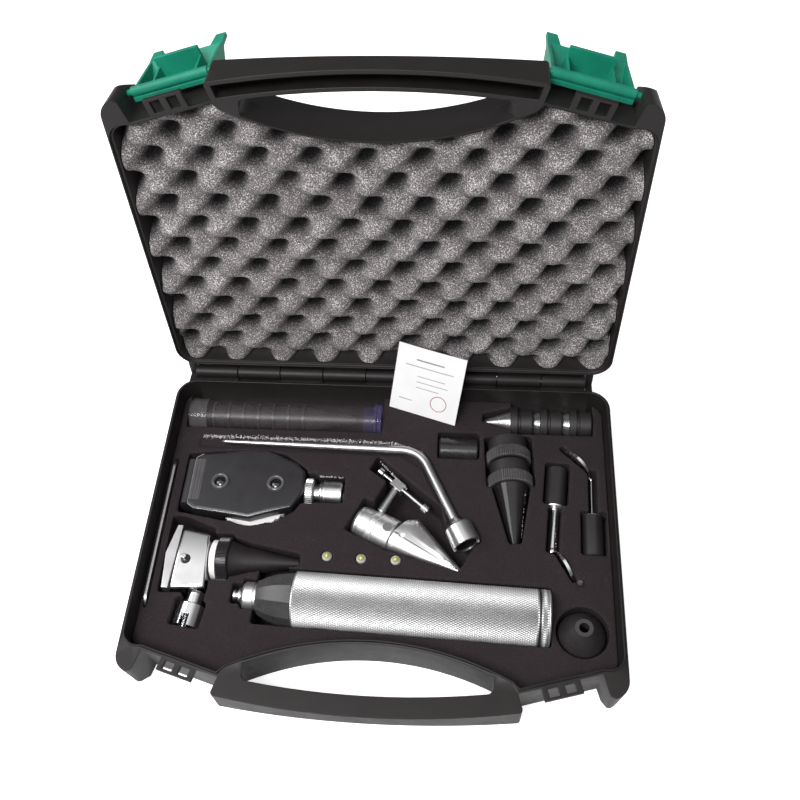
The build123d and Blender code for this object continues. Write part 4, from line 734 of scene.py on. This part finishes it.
# ======================== specula tube
lathe("specula_tube_clear", [(2.0, 9.2), (2.0, 10.2), (110.9, 10.2), (110.9, 9.2)], SPECULA_TUBE,
      "specula_store", "clear_plastic", ("specula_tube",), closed=True)
lathe("specula_tube_cap_moulded",
      [(0, 9.3), (0, 9.9), (0.9, 10.8), (1.9, 10.8), (2.5, 10.5), (9.2, 10.5), (9.7, 10.85), (11.0, 10.85),
       (11.0, 10.3), (1.8, 10.3), (1.8, 9.3)],
      SPECULA_TUBE, "specula_store", "clear_plastic", ("specula_tube_cap",), CLEAR_RIM, closed=True)
lathe("specula_tube_plug_moulded",
      solid([(105.0, 9.0), (110.8, 9.0), (111.0, 10.6), (112.4, 10.8), (112.9, 10.1), (114.2, 10.1),
             (114.6, 10.7), (115.4, 10.4)]),
      SPECULA_TUBE, "specula_store", "clear_plastic", ("specula_tube_plug",), VIOLET_RIM)


# ======================== specula and collars
lathe("ear_speculum_turned",
      [(11.3, 9.6), (11.3, 11.2), (13.4, 10.2), (20.0, 8.0), (48.6, 2.5), (48.6, 1.85), (20.5, 6.9)],
      OTOSCOPE_NOSE, "otoscope", "dark_plastic", ("ear_speculum",), SPECULUM_DULL, closed=True)
lathe("clamp_ring_knurled", [(4.3, 7.0), (4.3, 12.0), (5.0, 12.7), (10.4, 12.7), (11.2, 11.8), (11.2, 7.0)],
      OTOSCOPE_NOSE, "clamp_ring", "dark_plastic", ("speculum_clamp_ring",), closed=True, sides=384,
      ripple=ribs(96, 0.4, 4.6, 10.8, 12.0))
lathe("ophthalmoscope_ring_knurled", solid([(0.1, 8.0), (0.9, 8.7), (4.6, 8.7), (5.4, 8.0)]),
      OPHTHALMOSCOPE_RING, "ophthalmoscope", "satin_metal", ("ophthalmoscope_ring",), sides=192,
      ripple=ribs(48, 0.4, 0.5, 5.0, 8.2))
for name, shift, root, tip in (("upper", 0.0, 9.0, 50.0), ("lower", 15.9, 10.2, 49.6)):
    at = ADAPTERS @ lay(shift, 0, 0)
    lathe(f"large_speculum_{name}_collar",
          [(0, 9.9), (0, 10.8), (0.6, 11.2), (15.0, 11.2), (15.0, root - 0.6), (13.6, root - 1.2),
           (13.6, 9.9)],
          at, "large_specula", "dark_plastic", (f"large_speculum_{name}",), BARREL_DULL, closed=True)
    lathe(f"large_speculum_{name}_ring",
          [(8.0, 11.0), (8.0, 12.4), (8.6, 12.9), (14.4, 12.9), (15.0, 12.4), (15.0, 11.0)],
          at, "large_specula", "dark_plastic", (), RING_GREY, closed=True, sides=272,
          ripple=ribs(68, 0.55, 8.1, 14.9, 12.3))
    lathe(f"large_speculum_{name}_cone",
          [(15.02, root - 0.5), (15.02, root), (tip, 2.5), (tip, 1.6), (16.0, root - 1.4)],
          at, "large_specula", "dark_plastic", (), CONE_DARK, closed=True)
for index in range(3):
    at = NEST @ lay(17.0 * index, 0, 0)
    lathe(f"nested_barrel_{index}",
          [(0, 7.3), (0, 8.1), (0.6, 8.4), (6.6, 8.4), (7.1, 7.7), (8.5, 7.7), (8.8, 9.9), (12.6, 9.9),
           (12.9, 7.3)],
          at, "specula_stack", "dark_plastic", ("nested_specula",) if index == 0 else (), BARREL_DULL,
          closed=True)
    lathe(f"nested_cone_{index}",
          [(12.7, 6.1), (12.7, 7.2), (16.0, 6.1), (28.0, 1.8), (28.0, 0.9), (14.0, 5.4)],
          at, "specula_stack", "dark_plastic", (), CONE_GLOSS, closed=True)


# ======================== ophthalmoscope
OPHTHALMOSCOPE_MID = 17.5


def bar(name, section, low, high, stands_for, look):
    """Long rubber pad with an (x, z) section, run along Y, its ends rounded down by a few steps."""
    steps = [(0.0, 0.55), (0.25, 0.85), (0.8, 1.0)]
    stations = [(low + s, k) for s, k in steps] + [(high - s, k) for s, k in reversed(steps)]
    middle = sum(z for _, z in section) / len(section)
    points = [(x, y, OPHTHALMOSCOPE_MID + middle + (z - middle) * k) for y, k in stations for x, z in section]
    obj = from_points(name, points, sleeve(len(section), len(stations)))
    settle(obj, "ophthalmoscope", "grip_rubber", stands_for, look, 50.0)


REST_END = [(-110.3, -8.2), (-113.4, -8.2), (-114.4, -6.9), (-114.4, 6.4), (-113.9, 7.6), (-112.9, 8.2),
            (-110.3, 8.2)]
bar("brow_rest_moulded", REST_END, 14.7, 44.3, ("brow_rest",), FINISHES["head_plastic"])
RIDGES = [(-109.2, 9.0), (-109.2, 9.5)]
for step in range(25):
    wave = math.cos(2 * math.pi * step / 8)
    RIDGES.append((-108.9 + 5.2 * step / 24, 9.62 - 0.2 * wave))
RIDGES += [(-103.4, 9.4), (-103.4, 9.0)]
bar("brow_rest_ridges", RIDGES, 17.0, 43.0, (), BEZEL)
for index, (x, y) in enumerate(((-93.0, 29.2), (-61.0, 29.2))):
    top = lay(x, y, 26.7) @ UPRIGHT
    lathe(f"window_bezel_{index}",
          [(-0.5, 5.4), (0.2, 5.3), (1.1, 4.9), (1.5, 4.2), (1.2, 3.5), (0.4, 3.0), (-0.5, 2.9)],
          top, "ophthalmoscope", "head_plastic", (), BEZEL, closed=True, radius=0.5)
    lathe(f"window_dome_{index}", solid([(-0.9, 3.4), (-0.4, 2.9), (0.1, 2.2), (0.4, 1.3), (0.5, 0.5)]), top,
          "ophthalmoscope", "optical_glass", ("ophthalmoscope_windows",) if index == 0 else (), WINDOW_DARK,
          radius=0.3)
lathe("ophthalmoscope_socket_turned",
      [(5.5, 3.0), (5.5, 5.4), (8.6, 5.4), (8.6, 6.6), (9.4, 6.9), (10.0, 6.9), (10.0, 6.3), (10.6, 6.3),
       (10.8, 7.8), (12.2, 7.8), (12.2, 7.55), (20.9, 7.55), (21.5, 7.2), (21.5, 6.2), (11.5, 6.2),
       (11.5, 3.0)],
      OPHTHALMOSCOPE_RING, "ophthalmoscope", "satin_metal", ("ophthalmoscope_socket",), closed=True)


# ======================== otoscope
OTOSCOPE_MID = 18.5
OTOSCOPE_CORNERS = [Vector(c) for c in ((-108.2, -1.5), (-92.6, -4.0), (-91.2, -34.6), (-110.0, -36.0))]


def crowned_block():
    """Polished head block, its top slightly crowned and its edges rounded."""
    cells, half, edge, crown = 26, 9.8, 1.2, 3.2
    back_left, back_right, front_right, front_left = OTOSCOPE_CORNERS
    shares = [0.5 - 0.5 * math.cos(math.pi * k / cells) for k in range(cells + 1)]

    def fall(distance):
        return edge - math.sqrt(max(0.0, edge ** 2 - max(0.0, edge - distance) ** 2))

    points = []
    for s in shares:
        for t in shares:
            at = back_left.lerp(back_right, s).lerp(front_left.lerp(front_right, s), t)
            near_side, near_end = min(s, 1 - s) * 17.0, min(t, 1 - t) * 33.0
            z = half - crown * (t - 0.42) ** 2 * 2.0 - fall(near_side) - fall(near_end)
            points.append((at.x, at.y, OTOSCOPE_MID + z))
    wide = cells + 1
    border = border_of(wide, wide)
    foot = range(len(points), len(points) + len(border))
    points += [(points[index][0], points[index][1], OTOSCOPE_MID - half) for index in border]
    faces = grid(wide, wide) + band(border, foot) + [tuple(foot)]
    block = from_points("otoscope_body_polished", points, faces)
    settle(block, "otoscope", "chrome", ("otoscope_body",), None, 40.0)
    hole = lay(-103.4, -19.6, OTOSCOPE_MID + half - 0.1) @ UPRIGHT
    # painted shade: a dark disc on the block's top stands for the shadow in the screw hole round the stud
    lathe("otoscope_screw_painted_shade", solid([(-0.3, 2.9), (0.12, 2.7)]), hole, "otoscope", "dark_plastic", (),
          CONE_DARK)
    lathe("otoscope_screw_stud", solid([(0.0, 1.5), (1.9, 1.5), (2.1, 1.2)]), hole @ lay(0, 0.9, 0.9),
          "otoscope", "chrome")


crowned_block()


# ======================== nasal speculum
def crossed(count, depth, start, end, pitch):
    """Diamond knurl between two stations."""
    def ripple(x, turn, r):
        if not start <= x <= end:
            return 0.0
        left = math.cos(turn * count + 2 * math.pi * x / pitch)
        right = math.cos(turn * count - 2 * math.pi * x / pitch)
        return -depth * (0.5 - 0.25 * (left + right))
    return ripple


NASAL_REAR = [(2.4 + 0.36 * k, 9.3 + 0.4 * min(1.0, k / 6)) for k in range(20)]
lathe("nasal_barrel_turned",
      [(2.0, 0.0), (0.0, 0.0), (0.0, 5.6), (0.5, 7.2), (1.3, 8.5)] + NASAL_REAR
      + [(9.6, 9.7), (9.7, 9.1), (10.3, 9.1), (10.4, 10.4), (13.4, 10.4), (13.5, 9.6), (14.1, 9.6),
         (14.2, 10.4), (23.4, 10.4), (24.0, 10.1), (24.0, 8.2), (2.0, 8.2)],
      NASAL, "nasal_speculum", "satin_metal", ("nasal_barrel",), SATIN_BRIGHT, sides=288, radius=0.14,
      ripple=crossed(72, 0.3, 2.5, 9.3, 0.9))


# ======================== lamps
for index, (x, y) in enumerate(((-27.7, -12.7), (-9.0, -13.2), (9.6, -13.2))):
    lathe(f"spare_lamp_{index}",
          [(9.1, 0.0), (9.0, 0.5), (8.6, 1.3), (7.9, 2.05), (7.2, 2.35), (6.9, 2.75), (6.0, 2.75), (5.6, 2.3),
           (0.0, 2.3), (0.0, 0.0)],
          lay(x, y, FOAM_TOP - 7.4) @ UPRIGHT, "case_base", "lamp_glass",
          ("spare_lamps",) if index == 0 else (), radius=0.3)


# ======================== torn foam edges
def crumbs(name, start, end, width, count, seed, size):
    """Pale crumbs of foam along a torn edge, from one (x, y) to another."""
    draw = np.random.default_rng(seed)
    a, b = Vector(start), Vector(end)
    across = Vector((-(b - a).y, (b - a).x)).normalized()
    bm = bmesh.new()
    for _ in range(count):
        at = a.lerp(b, float(draw.random())) + across * float(draw.normal(0, width / 2))
        reach = size * float(0.45 + 1.1 * draw.random() ** 2)
        turn = Matrix.Rotation(float(draw.random() * 6.28), 4, "Z")
        turn = turn @ Matrix.Rotation(float(draw.random() * 1.2), 4, "X")
        shape = Matrix.Diagonal((reach, reach * float(0.5 + draw.random() * 0.5), reach * 0.6, 1.0))
        spot = Matrix.Translation((at.x * MM, at.y * MM, (FOAM_TOP + 0.1) * MM))
        bmesh.ops.create_icosphere(bm, subdivisions=1, radius=MM, matrix=spot @ turn @ shape)
    mesh = bpy.data.meshes.new(name)
    bm.to_mesh(mesh)
    bm.free()
    obj = settle(new_object(name, mesh), "case_base", "foam", (), CRUMBS, 20.0)


CRUMB_RUNS = [((-109.0, 59.9), (-30.0, 59.9), 1.3, 700), ((-30.0, 59.9), (5.0, 59.3), 1.2, 280),
              ((5.0, 59.3), (20.5, 54.0), 0.8, 90), ((20.5, 54.0), (27.5, 41.0), 0.5, 60),
              ((-3.3, 47.0), (13.9, 29.0), 0.6, 90), ((-36.7, 35.9), (-23.5, 35.4), 0.5, 50),
              ((79.4, 31.6), (76.6, 0.5), 0.2, 46), ((95.0, 19.9), (95.2, -1.7), 0.2, 40)]
for index, (start, end, width, count) in enumerate(CRUMB_RUNS):
    crumbs(f"torn_edge_{index}", start, end, width, count, 11 + index, 0.34 if width > 0.2 else 0.22)


# ======================== small metal parts, and a painted highlight along the head's edge
HIGHLIGHT_BEAD_HEIGHT = 26.1


def edge_highlight_bead():
    """Fine pale bead along the head's upper edge, at the rest's end and along the front: a painted highlight,
    laid only on the edges that face the light.
    """
    outline = [(-106.0, 47.2), (-110.1, 44.3), (-110.1, 14.6), (-106.0, 11.7), (-88.0, 9.7), (-74.0, 7.8),
               (-61.0, 12.1), (-50.7, 15.2)]
    centre = Vector((-78.0, 29.5))
    path = []
    for corner, following in zip(outline, outline[1:]):
        for share in (0.05, 0.35, 0.65, 0.95):
            path.append(Vector(corner).lerp(Vector(following), share))
    points, around, radius = [], 8, 0.4
    for point in path:
        out = (point - centre).normalized()
        middle = point - out * 0.5
        for k in range(around):
            turn = 2 * math.pi * k / around
            reach = radius * math.cos(turn)
            rise = radius * math.sin(turn)
            points.append((middle.x + out.x * reach, middle.y + out.y * reach, HIGHLIGHT_BEAD_HEIGHT + rise))
    bead = from_points("head_edge_highlight", points, sleeve(around, len(path)))
    settle(bead, "ophthalmoscope", "head_plastic", (), HIGHLIGHT_BEAD, 60.0)


edge_highlight_bead()
ARM_HEAD = lay(42.0, 8.0, 26.0, math.degrees(math.atan2(8.0 - 54.2, 42.0 - 19.2)))
HEAD_SOCKET = OPHTHALMOSCOPE_RING @ lay(8.5, 0, 0)
for name, place, body in (("arm", ARM_HEAD, "bent_arm"), ("ophthalmoscope", HEAD_SOCKET, "ophthalmoscope")):
    lathe(f"{name}_socket_liner", [(2.9, 5.6), (2.9, 6.12), (12.2, 6.12), (12.2, 5.6)], place, body,
          "dark_plastic", (), CONE_DARK, closed=True)
    lathe(f"{name}_socket_contact", solid([(2.6, 2.6), (3.4, 2.6), (3.5, 1.5), (5.2, 1.4), (5.6, 0.9)]),
          place, body, "brass")
for name, place, bore in (("mirror_a", MIRROR_A, 1.25), ("mirror_b", MIRROR_B, 2.75)):
    lathe(f"{name}_ferrule", [(24.1, 5.3), (24.2, 5.9), (25.0, 5.6), (25.2, 4.6), (25.2, bore), (24.1, bore)],
          place, name, "chrome", (), SATIN_BRIGHT, closed=True)


# ======================== card
def leaning_card():
    """Blank card with plain rules and one plain ring, slightly curled."""
    lean = math.radians(61.0)
    place = lay(-0.5, 85.0, FOAM_TOP + 0.3, -17.4) @ Matrix.Rotation(lean, 4, "X")

    def curl(x, y):
        return 0.5 * math.sin(math.pi * x / 41.0) * (y / 43.0)

    def strip(name, x_range, y_range, rise, thick, cells, look=None, stands_for=()):
        points = []
        columns, rows = cells[0] + 1, cells[1] + 1
        for level in (rise, rise - thick):
            for x in np.linspace(*x_range, columns):
                points += [(x, y, level + curl(x, y)) for y in np.linspace(*y_range, rows)]
        layer, border = columns * rows, border_of(columns, rows)
        sides = band(border, [k + layer for k in border])
        faces = grid(columns, rows) + grid(columns, rows, layer, True) + sides
        settle(from_points(name, points, faces, place), "note_card", "card_stock", stands_for, look)

    strip("card_sheet", (0, 41.0), (0, 43.0), 0.0, 0.35, (12, 12), stands_for=("card",))
    rules = [(34.6, 12.0, 29.0, 0.9), (30.6, 6.0, 35.0, 0.5), (24.6, 14.0, 31.0, 0.4),
             (21.0, 14.0, 33.0, 0.4), (17.4, 14.0, 28.0, 0.4), (8.0, 5.0, 13.0, 0.5)]
    for index, (y, x0, x1, tall) in enumerate(rules):
        strip(f"card_rule_{index}", (x0, x1), (y, y + tall), 0.03, 0.03, (8, 1), INK)
    points, steps = [], 48
    for level, radius in ((0.03, 5.0), (0.03, 4.55), (0.0, 4.55), (0.0, 5.0)):
        for step in range(steps):
            turn = 2 * math.pi * step / steps
            x, y = 29.0 + radius * math.cos(turn), 10.5 + radius * math.sin(turn)
            points.append((x, y, level + curl(x, y)))
    ring = from_points("card_ring", points, sleeve(steps, 4, closed=True), place)
    settle(ring, "note_card", "card_stock", (), RED_INK)


leaning_card()


# ======================== floor, lights, camera
FLOOR_SIZE = 6.0                                            # half its side, in metres


def backdrop():
    """Pale floor that reads white and keeps the object's shadow."""
    material, add, link, principled = nodes_of("floor_look")
    path = add("LightPath")
    seen = add("Math", operation="MAXIMUM")
    link(path.outputs["Is Camera Ray"], seen.inputs[0])
    link(path.outputs["Is Glossy Ray"], seen.inputs[1])
    direct = add("Math", operation="MULTIPLY")
    direct.inputs[1].default_value = 0.6
    link(path.outputs["Is Camera Ray"], direct.inputs[0])
    strength = scaled_sum(add, link, seen.outputs[0], 0.12, direct.outputs[0])
    link(strength, principled.inputs["Emission Strength"])
    constants(principled, {"Base Color": (0.92, 0.92, 0.92, 1), "Roughness": 0.9, "Specular IOR Level": 0.0,
                           "Emission Color": (1, 1, 1, 1)})
    mesh = bpy.data.meshes.new("floor")
    corners = [(FLOOR_SIZE * x, FLOOR_SIZE * y, 0) for x, y in ((-1, -1), (1, -1), (1, 1), (-1, 1))]
    mesh.from_pydata(corners, [], [(0, 1, 2, 3)])
    mesh.materials.append(material)
    new_object("floor", mesh)


SKY = ((0.0, 0.1), (0.35, 0.14), (0.7, 0.26), (0.83, 0.6), (0.93, 0.92), (1.0, 1.0))   # height, level
EVEN_LIGHT = 0.45


def world():
    """Surroundings: white where seen, even as light, and in mirrors bright above and dim at the horizon."""
    scene_world = bpy.data.worlds.new("surroundings")
    bpy.context.scene.world = scene_world
    scene_world.use_nodes = True
    add, link = wiring(scene_world.node_tree)
    background = scene_world.node_tree.nodes["Background"]
    background.inputs["Color"].default_value = (1, 1, 1, 1)
    path = add("LightPath")
    seen = add("Math", operation="MAXIMUM")
    link(path.outputs["Is Camera Ray"], seen.inputs[0])
    link(path.outputs["Is Transmission Ray"], seen.inputs[1])
    split = add("SeparateXYZ")
    link(add("TexCoord").outputs["Generated"], split.inputs["Vector"])
    sky = ramp(add, [(height, (level, level, level)) for height, level in SKY])
    link(split.outputs["Z"], sky.inputs["Fac"])
    mirrored = add("MapRange", **{"To Min": EVEN_LIGHT})
    link(path.outputs["Is Glossy Ray"], mirrored.inputs["Value"])
    link(sky.outputs["Color"], mirrored.inputs["To Max"])
    level = add("MapRange", **{"To Max": 1.0})
    link(seen.outputs[0], level.inputs["Value"])
    link(mirrored.outputs["Result"], level.inputs["To Min"])
    link(level.outputs["Result"], background.inputs["Strength"])


def softbox(name, location, target, size, power):
    """Rectangular lamp aimed at a point."""
    data = bpy.data.lights.new(name, "AREA")
    data.shape = "RECTANGLE"
    data.size, data.size_y = size
    data.energy = power
    lamp = new_object(name, data)
    lamp.location = location
    lamp.rotation_mode = "QUATERNION"
    lamp.rotation_quaternion = (Vector(target) - Vector(location)).to_track_quat("-Z", "Y")


CAMERA_AT = Vector((0.0420, -0.2142, 0.4820))
CAMERA_YAW, CAMERA_PITCH, CAMERA_ROLL = -8.27, 56.66, -5.08      # degrees, pitch down
CAMERA_LENS, CAMERA_SHIFT = 41.4, (0.0151, 0.0104)


def camera():
    """Camera at the photograph's viewing angle."""
    data = bpy.data.cameras.new("camera")
    data.lens, data.sensor_width = CAMERA_LENS, 36.0
    data.shift_x, data.shift_y = CAMERA_SHIFT
    data.clip_start, data.clip_end = 0.01, 50.0
    obj = new_object("camera", data)
    yaw, pitch, roll = (math.radians(angle) for angle in (CAMERA_YAW, CAMERA_PITCH, CAMERA_ROLL))
    ahead = Vector((math.sin(yaw) * math.cos(pitch), math.cos(yaw) * math.cos(pitch), -math.sin(pitch)))
    right = Vector((math.cos(yaw), -math.sin(yaw), 0.0))
    up = right.cross(ahead)
    tilted_right = right * math.cos(roll) + up * math.sin(roll)
    tilted_up = -right * math.sin(roll) + up * math.cos(roll)
    basis = Matrix((tilted_right, tilted_up, -ahead)).transposed()
    obj.matrix_world = Matrix.Translation(CAMERA_AT) @ basis.to_4x4()
    bpy.context.scene.camera = obj


backdrop()
world()
softbox("key", (-0.26, -0.44, 0.94), (0.0, 0.02, 0.05), (0.5, 0.4), 9.0)
softbox("fill", (-0.75, 0.1, 0.8), (0.0, 0.05, 0.05), (0.6, 0.6), 4.0)
camera()
bpy.context.scene.view_settings.view_transform = "Standard"
